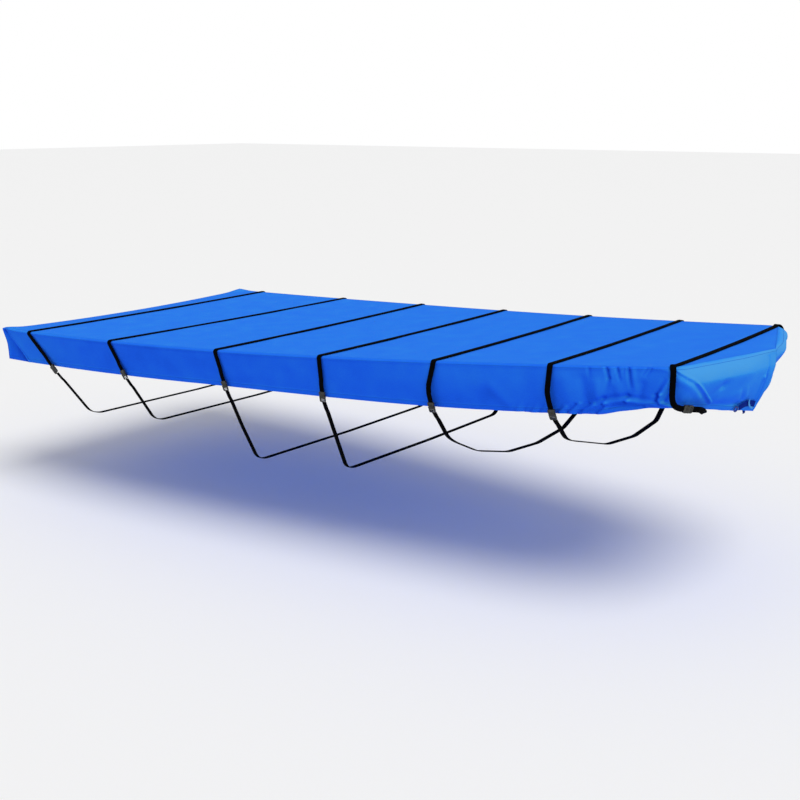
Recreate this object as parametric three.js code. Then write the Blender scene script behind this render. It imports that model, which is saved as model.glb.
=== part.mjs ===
// Fitted cover for an open flat-bottomed boat, shown as it hangs on the boat, which is left out.
// Millimetres. +X runs to the bow, -Y is starboard, +Z is up. The origin is under the middle of the
// top cloth, where the boat's deck would carry it. Inside the functions below, x is measured from the
// stern edge, and the whole group is moved at the end.
import * as THREE from 'three';

// ---------------------------------------------------------------- driving dimensions
const CLOTH = 2; // thickness of the cover cloth
const SEAM_GAP = 0.3; // gap left between cloths that are sewn edge to edge

// Plan outline of the boat's rail.
const STERN_HALF_BEAM = 958;
const BOW_TAPER = 0.146; // how fast the half beam narrows towards the bow
const SHOULDER_X = 1350; // where the sides start to narrow
const SHOULDER_SOFTNESS = 900;
const CORNER_START_X = 3760; // the side ends and the bow corner starts
const BOW_CORNER = new THREE.Vector2(3826, -569);
const STEM = new THREE.Vector2(4016, 0); // the front point of the top cloth
const CORNER_ON_BOW = 0.1; // share of the bow edge that the round corner takes
const TOP_END = 0.985; // share of the bow edge where the top cloth is cut off blunt

// Sheer: how high the rail rises from the stern to strap 7.
const SHEER_START_X = 200;
const SHEER_LENGTH = 3618;
const SHEER_RISE = 100;
const SHEER_CURVE = 108;
const BOW_DECK_SLOPE = 0.03;

// Side cloth.
const RAIL_RADIUS = 16; // rounding over the rail along the sides
const BOW_BULGE = 44; // rounding over the rail in the middle of the bow face
const STEM_BULGE = 5;
const BOW_ROUND_DROP = 72; // how far down that rounding reaches on the starboard bow face
const PORT_ROUND_DROP = 26; // the same on the port bow face, which lies flatter to the boat
const SKIRT_DEPTH = 178;
const FORE_EXTRA_DEPTH = 30; // the side cloth hangs this much deeper forward of FORE_RANGE
const FORE_RANGE = [1400, 3000];
const STRAP_PINCH = 40; // how far strap 7 draws the hem up
const PINCH_X = 3760;
const PINCH_REACH = 170;
const STEM_EXTRA_DEPTH = 76;
const SIDE_TUCK = 14; // how far the hem lies inside the top seam
const CORNER_TUCK = 22;
const BOW_TUCK = 48;
const STEM_TUCK = 78;
const WAIST_BULGE = 14; // soft bulge half way down the forward side cloth
const WAIST_RANGE = [2300, 2900]; // where that bulge grows to its full size
const STERN_SEAM_TOP_X = 14; // the slanting seam at the stern corner, top and bottom
const STERN_SEAM_FOOT_X = 188;

// Top cloth.
const TOP_SAG = 5;
const STERN_SAG = 13; // the free stern edge hangs lower between its corners
const STERN_SAG_REACH = 110;
const PEAK_HEIGHT = 9; // the stern corners stand up a little
const PEAK_REACH = 75;

// Stern cloth.
const STERN_ROUND = 12;
const STERN_DROP = 174;
const GUSSET_RECESS = 22; // hollow of the triangle that wraps the stern corner
const CORNER_RECESS = 4;
const FOOT_WAVE = 10; // how far the foot of the stern cloth waves in and out
const STERN_WAVE = 5; // the same half way down

// Webbing and buckles.
const WEBBING = 25;
const WEBBING_THICKNESS = 2;
const STRAP_CLEARANCE = 3;
const CORNER_SHIFT = 12; // strap 7 leaves the top this far aft of where it comes down the corner
const BUCKLE_THICKNESS = 9;
const SOCKET_LENGTH = 29;
const PLUG_LENGTH = 21;
const BUCKLE_WIDTH = 34;

// Trim at the foot of the stem.
const TAB_WIDTH = 22;
const TAB_LIFT = 4; // the tab stands this far off the cloth
const KEEPER_WIDTH = 10;
const KEEPER_LIFT = 8.5;
const KEEPER_THICKNESS = 1.5;
const RING_LIFT = 3;

const MID_X = 1935; // the origin, measured from the stern edge

// Each strap: where it crosses the starboard rail, then the points it passes on the way down, ending
// at the keel line. The last point is on the centre line. `buckle` is the index of the buckle's point.
// `portX` is where it crosses the port rail, when it lies aslant on the top. To port it passes the same
// points on the way down, unless `port` says otherwise.
const STRAPS = [
  { x: 220, buckle: 0, down: [[400, -910, -190], [520, -790, -428], [540, -745, -444], [542, 0, -450]] },
  { x: 876, portX: 946, buckle: 0,
    down: [[959, -893, -149], [1028, -776, -390], [1040, -735, -406], [1042, 0, -412]] },
  { x: 1604, portX: 1588, buckle: 0,
    down: [[1644, -846, -122], [1676, -775, -328], [1710, -712, -498], [1716, -672, -514], [1716, 0, -520]] },
  { x: 2206, buckle: 0,
    down: [[2212, -784, -106], [2232, -716, -310], [2246, -664, -460], [2248, -626, -475], [2248, 0, -480]] },
  { x: 2788, portX: 2776, buckle: 1,
    down: [[2774, -743, 10], [2780, -717, -82], [2790, -610, -236], [2806, -580, -262], [2862, -480, -318],
      [2892, -260, -368], [2898, 0, -384]] },
  { x: 3318, buckle: 1,
    down: [[3320, -672, 50], [3334, -641, -44], [3330, -520, -170], [3340, -490, -186], [3392, -250, -248],
      [3400, 0, -266]] },
  { x: 3820, portX: 3830, buckle: 4,
    down: [[3825, -588, 96], [3829, -586, 72], [3834, -578, 56], [3845, -554, 44], [3862, -514, 37],
      [3887, -453, 26], [3887, -410, 8], [3872, -374, -8], [3844, -338, -12], [3808, -270, 2], [3800, 0, 16]],
    port: [[3817, 588, 92], [3818, 580, 60], [3816, 552, 34], [3808, 500, 22], [3802, 300, 16]] },
];
const TWISTED_STRAP = 6; // the strap that turns forward round the bow corner

// Folds of the side cloth. From and to are [distance along the top seam, drop below it]; height is
// outward, and width is the half width of the ridge or trough.
const FOLDS = [
  { from: [3852, 10], to: [4080, 172], height: 9, width: 13 }, // tight ridge from the bow corner
  { from: [4030, 150], to: [4230, 150], height: -11, width: 42 }, // hollow under it
  { from: [3250, 185], to: [3560, 150], height: 9, width: 14 }, // roll of slack cloth above the hem
  { from: [3300, 150], to: [3560, 125], height: -7, width: 16 },
  { from: [3700, 165], to: [3765, 95], height: 8, width: 12 }, // pulled up beside strap 7
  { from: [3690, 30], to: [3640, 130], height: 6, width: 22 },
  { from: [3560, 10], to: [3575, 60], height: 4, width: 12 }, // small pleats under the rail
  { from: [3500, 10], to: [3480, 90], height: 5, width: 16 },
  { from: [3440, 10], to: [3445, 110], height: 5, width: 18 },
  { from: [3230, 160], to: [3200, 205], height: 6, width: 12 }, // hem gathers
  { from: [3160, 165], to: [3135, 205], height: 5, width: 12 },
  { from: [4330, 60], to: [4385, 235], height: -6, width: 16 }, // long fold beside the stem seam
];

const PORT_FOLDS = [
  { from: [3900, 60], to: [4380, 60], height: -16, width: 40 }, // drawn in under the port bow rail
  { from: [4000, 190], to: [4300, 200], height: 9, width: 30 },
  { from: [3250, 185], to: [3540, 150], height: 8, width: 15 },
  { from: [3700, 150], to: [3755, 90], height: 6, width: 12 },
  { from: [3160, 165], to: [3140, 205], height: 5, width: 12 },
];

// ---------------------------------------------------------------- small helpers
const clamp01 = (value) => Math.min(1, Math.max(0, value));
const mix = (a, b, t) => a + (b - a) * t;
const smooth = (from, to, value) => THREE.MathUtils.smoothstep(value, from, to);
const bell = (distance, reach) => Math.exp(-((distance / reach) ** 2));

function material(color, roughness, metalness = 0) {
  return new THREE.MeshStandardMaterial({ color, roughness, metalness, side: THREE.FrontSide });
}

const blueCloth = material(0x1f66df, 0.8);
const blackWebbing = material(0x0a0a0c, 0.75);
const blackPlastic = material(0x26261f, 0.5);
const navyWebbing = material(0x08156f, 0.75);
const paleCloth = material(0x4fa0f5, 0.8);
const navyMetal = material(0x0a1668, 0.4, 0.6);

// ---------------------------------------------------------------- the cover's surfaces
function halfBeam(x) {
  const past = x - SHOULDER_X;
  return STERN_HALF_BEAM - (BOW_TAPER / 2) * (past + Math.hypot(past, SHOULDER_SOFTNESS));
}

function railHeight(x) {
  const share = (Math.min(x, SHEER_START_X + SHEER_LENGTH) - SHEER_START_X) / SHEER_LENGTH;
  const beyond = Math.max(0, x - SHEER_START_X - SHEER_LENGTH);
  return SHEER_RISE * share + SHEER_CURVE * share * Math.abs(share) + BOW_DECK_SLOPE * beyond;
}

function cornerPeak(x, y) {
  const fromCorner = Math.hypot(x, halfBeam(0) - RAIL_RADIUS - Math.abs(y));
  return PEAK_HEIGHT * bell(fromCorner, PEAK_REACH);
}

// A place on the starboard top seam. u is 0 to 1 along the side, 1 to 2 round the bow corner and 2 to 3
// along the bow edge. `aftX` is where the side starts, since the stern seam slants.
function seamPoint(u, aftX = STERN_SEAM_TOP_X) {
  const cornerStart = new THREE.Vector2(CORNER_START_X, RAIL_RADIUS - halfBeam(CORNER_START_X));
  const cornerEnd = BOW_CORNER.clone().lerp(STEM, CORNER_ON_BOW);
  if (u <= 1) {
    const x = mix(aftX, CORNER_START_X, u);
    return new THREE.Vector2(x, RAIL_RADIUS - halfBeam(x));
  }
  if (u <= 2) return new THREE.QuadraticBezierCurve(cornerStart, BOW_CORNER, cornerEnd).getPoint(u - 1);
  return cornerEnd.lerp(STEM, u - 2);
}

// The level direction that points out of the boat at u.
function outward(u, aftX) {
  const step = 0.002;
  const along = seamPoint(Math.min(3, u + step), aftX).sub(seamPoint(Math.max(0, u - step), aftX));
  const out = new THREE.Vector2(along.y, -along.x).normalize();
  return out.lerp(new THREE.Vector2(1, 0), smooth(2.7, 3, u)).normalize();
}

// Distance along the seam, used to place the folds.
function seamDistance(u, x) {
  if (u <= 1) return x;
  const corner = BOW_CORNER.distanceTo(STEM);
  if (u <= 2) return mix(CORNER_START_X, BOW_CORNER.x + CORNER_ON_BOW * corner, u - 1);
  return BOW_CORNER.x + corner * mix(CORNER_ON_BOW, 1, u - 2);
}

function foldHeight(folds, distance, drop) {
  let total = 0;
  for (const fold of folds) {
    const start = new THREE.Vector3(fold.from[0], fold.from[1], 0);
    const end = new THREE.Vector3(fold.to[0], fold.to[1], 0);
    const here = new THREE.Vector3(distance, drop, 0);
    const nearest = new THREE.Line3(start, end).closestPointToPoint(here, true, new THREE.Vector3());
    total += fold.height * bell(here.distanceTo(nearest), fold.width);
  }
  return total;
}

function skirtShape(u, x, port) {
  const bow = smooth(1, 2, u);
  const along = clamp01(u - 2);
  const nearStem = smooth(0.55, 1, along);
  const pinch = STRAP_PINCH * bell(x - PINCH_X, PINCH_REACH);
  return {
    bulge: mix(mix(RAIL_RADIUS, BOW_BULGE, bow), STEM_BULGE, nearStem),
    round: mix(RAIL_RADIUS, port ? PORT_ROUND_DROP : BOW_ROUND_DROP, bow),
    depth: SKIRT_DEPTH + FORE_EXTRA_DEPTH * smooth(...FORE_RANGE, x) - pinch + STEM_EXTRA_DEPTH * along,
    tuck: mix(mix(mix(SIDE_TUCK, CORNER_TUCK, bow), BOW_TUCK, smooth(0, 0.4, along)), STEM_TUCK, nearStem),
    waist: WAIST_BULGE * smooth(...WAIST_RANGE, x) * (1 - bow),
  };
}

// A point of the starboard side cloth. v is 0 at the top seam, ROUND_SHARE where the cloth has rolled
// over the rail and 1 at the hem. `lift` moves the point straight off the cloth. With `port` it is the
// port cloth, still given on the starboard side, to be mirrored.
const ROUND_SHARE = 0.25;
function skirtPoint(u, v, lift = 0, port = false) {
  const fallen = clamp01((v - ROUND_SHARE) / (1 - ROUND_SHARE));
  const aftX = mix(STERN_SEAM_TOP_X, STERN_SEAM_FOOT_X, fallen);
  const seam = seamPoint(u, aftX);
  const out = outward(u, aftX);
  const shape = skirtShape(u, seam.x, port);
  const angle = clamp01(v / ROUND_SHARE) * (Math.PI / 2);
  const drop = v < ROUND_SHARE ? shape.round * (1 - Math.cos(angle)) : mix(shape.round, shape.depth, fallen);
  let offset = shape.bulge * Math.sin(angle);
  offset -= (shape.bulge + shape.tuck) * fallen;
  offset += shape.waist * Math.sin(Math.PI * fallen);
  const folds = port ? PORT_FOLDS : FOLDS;
  offset += foldHeight(folds, seamDistance(u, seam.x), drop) * smooth(0, 0.2, v) * (u > 2.98 ? 0 : 1);
  const base = cornerPeak(seam.x, seam.y) + railHeight(seam.x);
  offset += lift * Math.sin(angle) + SEAM_GAP;
  return new THREE.Vector3(
    seam.x + out.x * offset,
    Math.min(seam.y + out.y * offset, -SEAM_GAP / 2),
    base - drop + lift * Math.cos(angle),
  );
}

function topHeight(x, y) {
  const edge = Math.abs(topEdge(x));
  const across = clamp01(1 - (y / edge) ** 2);
  const sag = (TOP_SAG + STERN_SAG * bell(x, STERN_SAG_REACH)) * across * clamp01(edge / 500);
  return railHeight(x) + cornerPeak(x, y) - sag;
}

// Starboard edge of the top cloth at x: the seam, turned round to be read by x.
function topEdge(x) {
  if (x <= CORNER_START_X) return RAIL_RADIUS - halfBeam(x);
  let low = 1;
  let high = 3;
  for (let step = 0; step < 40; step += 1) {
    const middle = (low + high) / 2;
    if (seamPoint(middle).x < x) low = middle;
    else high = middle;
  }
  return seamPoint(low).y;
}

// ---------------------------------------------------------------- solids from surfaces
function closedGeometry(positions, indices) {
  const geometry = new THREE.BufferGeometry();
  geometry.setAttribute('position', new THREE.Float32BufferAttribute(positions, 3));
  const corner = (index) => new THREE.Vector3().fromArray(positions, 3 * index);
  let volume = 0;
  for (let i = 0; i < indices.length; i += 3) {
    volume += corner(indices[i]).dot(corner(indices[i + 1]).cross(corner(indices[i + 2])));
  }
  geometry.setIndex(volume > 0 ? indices : [...indices].reverse());
  geometry.computeVertexNormals();
  return geometry;
}

// Closes a grid of { point, normal } into a sheet whose thickness lies behind the points.
function sheetGeometry(grid, thickness) {
  const rows = grid.length;
  const columns = grid[0].length;
  const positions = [];
  for (const depth of [0, thickness]) {
    for (const row of grid) {
      for (const { point, normal } of row) {
        positions.push(...point.clone().addScaledVector(normal, -depth).toArray());
      }
    }
  }
  const face = (row, column, layer) => layer * rows * columns + row * columns + column;
  const indices = [];
  const quad = (a, b, c, d) => indices.push(a, b, c, a, c, d);
  for (let r = 0; r < rows - 1; r += 1) {
    for (let c = 0; c < columns - 1; c += 1) {
      quad(face(r, c, 0), face(r, c + 1, 0), face(r + 1, c + 1, 0), face(r + 1, c, 0));
      quad(face(r, c, 1), face(r + 1, c, 1), face(r + 1, c + 1, 1), face(r, c + 1, 1));
    }
  }
  for (let c = 0; c < columns - 1; c += 1) {
    quad(face(0, c, 1), face(0, c + 1, 1), face(0, c + 1, 0), face(0, c, 0));
    quad(face(rows - 1, c, 0), face(rows - 1, c + 1, 0), face(rows - 1, c + 1, 1), face(rows - 1, c, 1));
  }
  for (let r = 0; r < rows - 1; r += 1) {
    quad(face(r, 0, 0), face(r + 1, 0, 0), face(r + 1, 0, 1), face(r, 0, 1));
    quad(face(r, columns - 1, 1), face(r + 1, columns - 1, 1), face(r + 1, columns - 1, 0),
      face(r, columns - 1, 0));
  }
  return closedGeometry(positions, indices);
}

// Normals of a grid of points, from its neighbours. `flip` turns them over.
function withNormals(points, flip) {
  const last = (list) => list.length - 1;
  return points.map((row, r) => row.map((point, c) => {
    const across = row[Math.min(c + 1, last(row))].clone().sub(row[Math.max(c - 1, 0)]);
    const below = points[Math.min(r + 1, last(points))][c];
    const along = below.clone().sub(points[Math.max(r - 1, 0)][c]);
    const normal = across.cross(along).normalize();
    return { point, normal: flip ? normal.negate() : normal };
  }));
}

// A flat band along a list of { point, out, side }: out is off the surface it lies on, side is across.
function bandGeometry(stations, width, thickness) {
  const grid = stations.map(({ point, out, side }) => [-0.5, 0.5].map((share) => ({
    point: point.clone().addScaledVector(side, share * width).addScaledVector(out, thickness),
    normal: out,
  })));
  return sheetGeometry(grid, thickness);
}

function mirrored(grid) {
  const turn = new THREE.Vector3(1, -1, 1);
  return grid.map((row) => row.map(({ point, normal }) => ({
    point: point.clone().multiply(turn), normal: normal.clone().multiply(turn),
  })));
}

function mesh(name, geometry, finish) {
  const piece = new THREE.Mesh(geometry, finish);
  piece.name = name;
  return piece;
}

// ---------------------------------------------------------------- cover cloths
// Columns of the side cloth and the rows of the top cloth: wide along the smooth side, close at folds.
function seamColumns() {
  const columns = [];
  const toU = (x) => (x - STERN_SEAM_TOP_X) / (CORNER_START_X - STERN_SEAM_TOP_X);
  for (let i = 0; i < 24; i += 1) columns.push(toU(mix(STERN_SEAM_TOP_X, 2960, i / 24)));
  for (let i = 0; i < 20; i += 1) columns.push(toU(mix(2960, CORNER_START_X, i / 20)));
  for (let i = 0; i < 5; i += 1) columns.push(1 + i / 5);
  for (let i = 0; i < 14; i += 1) columns.push(2 + (TOP_END * i) / 14);
  columns.push(2 + TOP_END, 3);
  return columns;
}

const SKIRT_ROWS = [0, 0.09, 0.17, ROUND_SHARE, 0.4, 0.57, 0.72, 0.86, 1];

function skirtGrid(port) {
  const points = seamColumns().map((u) => SKIRT_ROWS.map((v) => skirtPoint(u, v, 0, port)));
  const grid = withNormals(points, false);
  for (const column of grid) column[0].normal.set(0, 0, 1);
  for (const { normal } of grid.at(-1)) normal.setY(0).normalize();
  return grid;
}

function topGrid() {
  const across = [-1, -0.86, -0.6, -0.3, 0, 0.3, 0.6, 0.86, 1];
  const seams = seamColumns().filter((u) => u <= 2 + TOP_END).map((u) => seamPoint(u));
  const sternEdge = new THREE.Vector2(0, RAIL_RADIUS - halfBeam(0));
  const points = [sternEdge, ...seams].map((seam) => across.map((share) => {
    const y = -share * seam.y;
    return new THREE.Vector3(seam.x, y, topHeight(seam.x, y));
  }));
  const grid = withNormals(points, true);
  for (const row of grid) {
    row[0].normal.set(0, 0, 1);
    row.at(-1).normal.set(0, 0, 1);
  }
  for (const { normal } of [...grid[0], ...grid.at(-1)]) normal.set(0, 0, 1);
  return grid;
}

// Rows of the stern cloth: 0 to 1 rolls over the edge, 1 to 2 hangs. SEAM_ROWS are the side cloth's rows
// at the same heights.
const STERN_ROWS = [0, 0.5, 1, 1.25, 1.5, 1.75, 2];
const SEAM_ROWS = [0, 2, 3, 4, 5, 6, 8];

// One column of the stern cloth, rolled over the edge and hanging to its foot.
function sternColumn(top, foot, out, recess) {
  return STERN_ROWS.map((v) => {
    const angle = clamp01(v) * (Math.PI / 2);
    const fallen = clamp01(v - 1);
    const rolled = top.clone().addScaledVector(out, STERN_ROUND * Math.sin(angle) + SEAM_GAP);
    rolled.z -= STERN_ROUND * (1 - Math.cos(angle));
    return rolled.lerp(foot, fallen).addScaledVector(out, -recess * Math.sin(Math.PI * fallen));
  });
}

function sternHalf() {
  const edgeY = RAIL_RADIUS - halfBeam(0);
  const place = (x, y) => new THREE.Vector3(x, y, topHeight(x, y));
  const onSkirt = (v) => (v <= 1 ? v * ROUND_SHARE : mix(ROUND_SHARE, 1, v - 1));
  const seamRows = STERN_ROWS.map((v) => skirtPoint(0, onSkirt(v)));
  const seamColumn = seamRows.map((point) => point.clone().setX(point.x - 2 * SEAM_GAP));
  const corner = place(0, edgeY);
  const cornerFoot = new THREE.Vector3(-2, edgeY + 4, -STERN_DROP);
  const diagonal = new THREE.Vector3(-0.7, -0.7, 0);
  const middleTop = place(STERN_SEAM_TOP_X / 2, edgeY);
  const middleFoot = seamColumn.at(-1).clone().lerp(cornerFoot, 0.5);
  const columns = [
    seamColumn,
    sternColumn(middleTop, middleFoot, new THREE.Vector3(-0.3, -0.95, 0), GUSSET_RECESS),
    sternColumn(corner, cornerFoot, diagonal, CORNER_RECESS),
  ];
  for (const share of [0.96, 0.85, 0.7, 0.5, 0.25]) {
    const footX = FOOT_WAVE * (Math.cos(9 * share) - 0.6);
    const foot = new THREE.Vector3(footX, edgeY * share, -STERN_DROP - 4 * share);
    const aft = new THREE.Vector3(-1, 0, 0);
    columns.push(sternColumn(place(0, edgeY * share), foot, aft, STERN_WAVE * Math.sin(7 * share)));
  }
  return columns;
}

function sternGrid(skirt) {
  const starboard = sternHalf();
  const middle = sternColumn(new THREE.Vector3(0, 0, topHeight(0, 0)),
    new THREE.Vector3(4, 0, -STERN_DROP), new THREE.Vector3(-1, 0, 0), 0);
  const port = starboard.map((column) => column.map((p) => p.clone().setY(-p.y))).reverse();
  const grid = withNormals([...starboard, middle, ...port], true).map((column) => {
    column[0].normal.set(0, 0, 1);
    return column;
  });
  grid[0].forEach((station, r) => station.normal.copy(skirt[0][SEAM_ROWS[r]].normal));
  grid.at(-1).forEach((station, r) => station.normal.copy(grid[0][r].normal).setY(-grid[0][r].normal.y));
  return grid;
}

// ---------------------------------------------------------------- straps
function uAtX(x) {
  if (x <= CORNER_START_X) return (x - STERN_SEAM_TOP_X) / (CORNER_START_X - STERN_SEAM_TOP_X);
  let low = 1;
  let high = 2;
  for (let step = 0; step < 40; step += 1) {
    const middle = (low + high) / 2;
    if (seamPoint(middle).x < x) low = middle;
    else high = middle;
  }
  return low;
}

// Half of a strap's line over the cover, given on the starboard side: from the centre of the top at
// `middleX` to where it leaves the rail at `railX`.
function strapHalf(middleX, railX, port) {
  const seamY = topEdge(railX);
  const top = [0, 0.25, 0.5, 0.75, 0.9, 0.985].map((share) => {
    const x = mix(middleX, railX, share);
    return new THREE.Vector3(x, seamY * share, topHeight(x, seamY * share) + STRAP_CLEARANCE);
  });
  const onCorner = railX > CORNER_START_X;
  const u = uAtX(onCorner ? railX - CORNER_SHIFT : railX);
  const lift = onCorner ? 2 * STRAP_CLEARANCE : STRAP_CLEARANCE;
  return [...top, ...[0.04, 0.11, 0.18, ROUND_SHARE].map((v) => skirtPoint(u, v, lift, port))];
}

// Adds the direction off the cover and the direction across the webbing to each point.
function strapStations(points, sideAt) {
  return points.map((point, i) => {
    const before = points[Math.max(0, i - 1)];
    const after = points[Math.min(points.length - 1, i + 1)];
    const along = after.clone().sub(before).normalize();
    const side = sideAt(point).clone();
    side.addScaledVector(along, -side.dot(along)).normalize();
    return { point, along, side, out: side.clone().cross(along).normalize() };
  });
}

// Across the webbing: fore and aft, but upright where strap 7 turns round the bow corner.
function acrossWebbing(index) {
  const level = new THREE.Vector3(1, 0, 0);
  const upright = new THREE.Vector3(0.2, 0, 1);
  return (point) => {
    if (index !== TWISTED_STRAP || point.z > 120 || point.y > 0) return level;
    const turned = smooth(90, 42, point.z) * smooth(-378, -412, point.y);
    return level.clone().lerp(upright, turned);
  };
}

function strapPiece(index) {
  const strap = STRAPS[index];
  const mirror = (p) => p.clone().setY(-p.y);
  const toVectors = (places) => places.map((place) => new THREE.Vector3(...place));
  const portX = strap.portX ?? strap.x;
  const middleX = (strap.x + portX) / 2;
  const down = toVectors(strap.down);
  const portDown = strap.port ? toVectors(strap.port) : down.slice(0, -1).map(mirror);
  const starboard = [...strapHalf(middleX, strap.x, false), ...down.slice(0, -1)];
  const portHalf = strapHalf(middleX, portX, true).slice(1).map(mirror);
  const loop = [...starboard.reverse(), ...portHalf, ...portDown, down.at(-1)];
  // The loop is cut at the buckle: it starts above the socket and ends below the plug.
  const buckleAt = loop.findIndex((p) => p.equals(down[strap.buckle]));
  const stations = strapStations([...loop.slice(buckleAt), ...loop.slice(0, buckleAt + 1)],
    acrossWebbing(index));
  const first = stations[0];
  const last = stations.at(-1);
  const up = stations[1].point.clone().sub(first.point).normalize();
  const under = stations.at(-2).point.clone().sub(last.point).normalize();
  first.point = first.point.clone().addScaledVector(up, SOCKET_LENGTH + 0.5);
  last.point = last.point.clone().addScaledVector(under, PLUG_LENGTH + 0.5);
  return { stations, centre: down[strap.buckle], up, under, out: first.out };
}

// ---------------------------------------------------------------- buckles
function socketGeometry() {
  const half = BUCKLE_WIDTH / 2;
  const shape = new THREE.Shape();
  shape.moveTo(-half + 2, 0.4);
  shape.lineTo(half - 2, 0.4);
  shape.lineTo(half, 3);
  shape.lineTo(half, 5);
  shape.lineTo(half - 4.5, 6); // side window that shows the prong
  shape.lineTo(half - 4.5, 16);
  shape.lineTo(half, 18);
  shape.lineTo(half - 1.5, SOCKET_LENGTH - 2);
  shape.lineTo(half - 4, SOCKET_LENGTH);
  shape.lineTo(-half + 4, SOCKET_LENGTH);
  shape.lineTo(-half + 1.5, SOCKET_LENGTH - 2);
  shape.lineTo(-half, 18);
  shape.lineTo(-half + 4.5, 16);
  shape.lineTo(-half + 4.5, 6);
  shape.lineTo(-half, 5);
  shape.lineTo(-half, 3);
  shape.closePath();
  return new THREE.ExtrudeGeometry(shape, { depth: BUCKLE_THICKNESS, bevelEnabled: false });
}

function plugGeometry() {
  const half = BUCKLE_WIDTH / 2;
  const shape = new THREE.Shape();
  shape.moveTo(-half + 3, -PLUG_LENGTH);
  shape.lineTo(half - 3, -PLUG_LENGTH);
  shape.lineTo(half - 1, -PLUG_LENGTH + 3);
  shape.lineTo(half, -3);
  shape.lineTo(half, 0);
  shape.lineTo(-half, 0);
  shape.lineTo(-half, -3);
  shape.lineTo(-half + 1, -PLUG_LENGTH + 3);
  shape.closePath();
  for (const y of [-PLUG_LENGTH + 4, -PLUG_LENGTH + 11]) {
    const slot = new THREE.Path();
    slot.moveTo(-12, y);
    slot.lineTo(12, y);
    slot.lineTo(12, y + 3.4);
    slot.lineTo(-12, y + 3.4);
    slot.closePath();
    shape.holes.push(slot);
  }
  return new THREE.ExtrudeGeometry(shape, { depth: BUCKLE_THICKNESS - 3, bevelEnabled: false });
}

function bucklePieces(number, centre, up, out) {
  const across = up.clone().cross(out).normalize();
  const turn = new THREE.Matrix4().makeBasis(across, up, across.clone().cross(up));
  const holder = new THREE.Group();
  holder.quaternion.setFromRotationMatrix(turn);
  holder.position.copy(centre);
  const socket = mesh(`buckle_socket_${number}`, socketGeometry(), blackPlastic);
  const plug = mesh(`buckle_plug_${number}`, plugGeometry(), blackPlastic);
  plug.position.z = 1.5;
  holder.add(socket, plug);
  return holder;
}

// ---------------------------------------------------------------- bow tab, ring and keeper
// A band that lies on the bow face, through places given as [share of the bow edge, share of the drop].
function bowBand(places, width, lift, thickness) {
  const points = places.map(([u, v]) => skirtPoint(2 + u, v));
  const face = (u, v) => {
    const along = skirtPoint(2 + u + 0.02, v).sub(skirtPoint(2 + u - 0.02, v));
    const down = skirtPoint(2 + u, Math.min(1, v + 0.03)).sub(skirtPoint(2 + u, v - 0.03));
    return down.cross(along).normalize();
  };
  const stations = points.map((point, i) => {
    const out = face(...places[i]);
    const along = points[Math.min(points.length - 1, i + 1)].clone().sub(points[Math.max(0, i - 1)]);
    const side = out.clone().cross(along).normalize();
    return { point: point.clone().addScaledVector(out, lift), out, side };
  });
  return bandGeometry(stations, width, thickness);
}

function ringPiece() {
  const profile = [[6, 0], [12, 0], [13, 1.2], [12, 2.6], [7, 2.6], [5.6, 1.4]];
  const outline = [...profile, profile[0]].map(([radius, height]) => new THREE.Vector2(radius, height));
  const ring = mesh('bow_ring', new THREE.LatheGeometry(outline, 24), navyMetal);
  const [u, v] = RING_PLACE;
  const centre = skirtPoint(u, v);
  const aside = skirtPoint(u + 0.02, v).sub(centre).normalize();
  const down = skirtPoint(u, v + 0.04).sub(centre).normalize();
  const out = down.clone().cross(aside).normalize();
  ring.quaternion.setFromUnitVectors(new THREE.Vector3(0, 1, 0), out);
  ring.position.copy(centre).addScaledVector(out, RING_LIFT);
  return ring;
}

const TAB_PATH = [[0.687, 0.932], [0.72, 0.9], [0.75, 0.873], [0.78, 0.855], [0.82, 0.852], [0.86, 0.856],
  [0.9, 0.86], [0.925, 0.862]];
const KEEPER_PATH = [[0.765, 0.775], [0.785, 0.82], [0.815, 0.868], [0.86, 0.905], [0.925, 0.93]];
const RING_PLACE = [2.66, 0.955]; // where the ring's centre is on the side cloth
const TAB_END_U = 2.9; // where the tab's end hangs below the hem
const TAB_END_BEHIND = new THREE.Vector3(-12, 6, 0);
const TAB_END_HEIGHTS = [20, 0, -14]; // above and below the hem

function bowTab() {
  const group = new THREE.Group();
  group.add(
    mesh('bow_tab', bowBand(TAB_PATH, TAB_WIDTH, TAB_LIFT, WEBBING_THICKNESS), navyWebbing),
    mesh('bow_keeper', bowBand(KEEPER_PATH, KEEPER_WIDTH, KEEPER_LIFT, KEEPER_THICKNESS), paleCloth),
    ringPiece(),
  );
  const foot = skirtPoint(TAB_END_U, 1).add(TAB_END_BEHIND);
  const stations = TAB_END_HEIGHTS.map((height) => ({
    point: foot.clone().add(new THREE.Vector3(0, 0, height)),
    out: new THREE.Vector3(1, 0, 0), side: new THREE.Vector3(0, 1, 0),
  }));
  group.add(mesh('bow_tab_end', bandGeometry(stations, TAB_WIDTH, WEBBING_THICKNESS), navyWebbing));
  return group;
}

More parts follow.
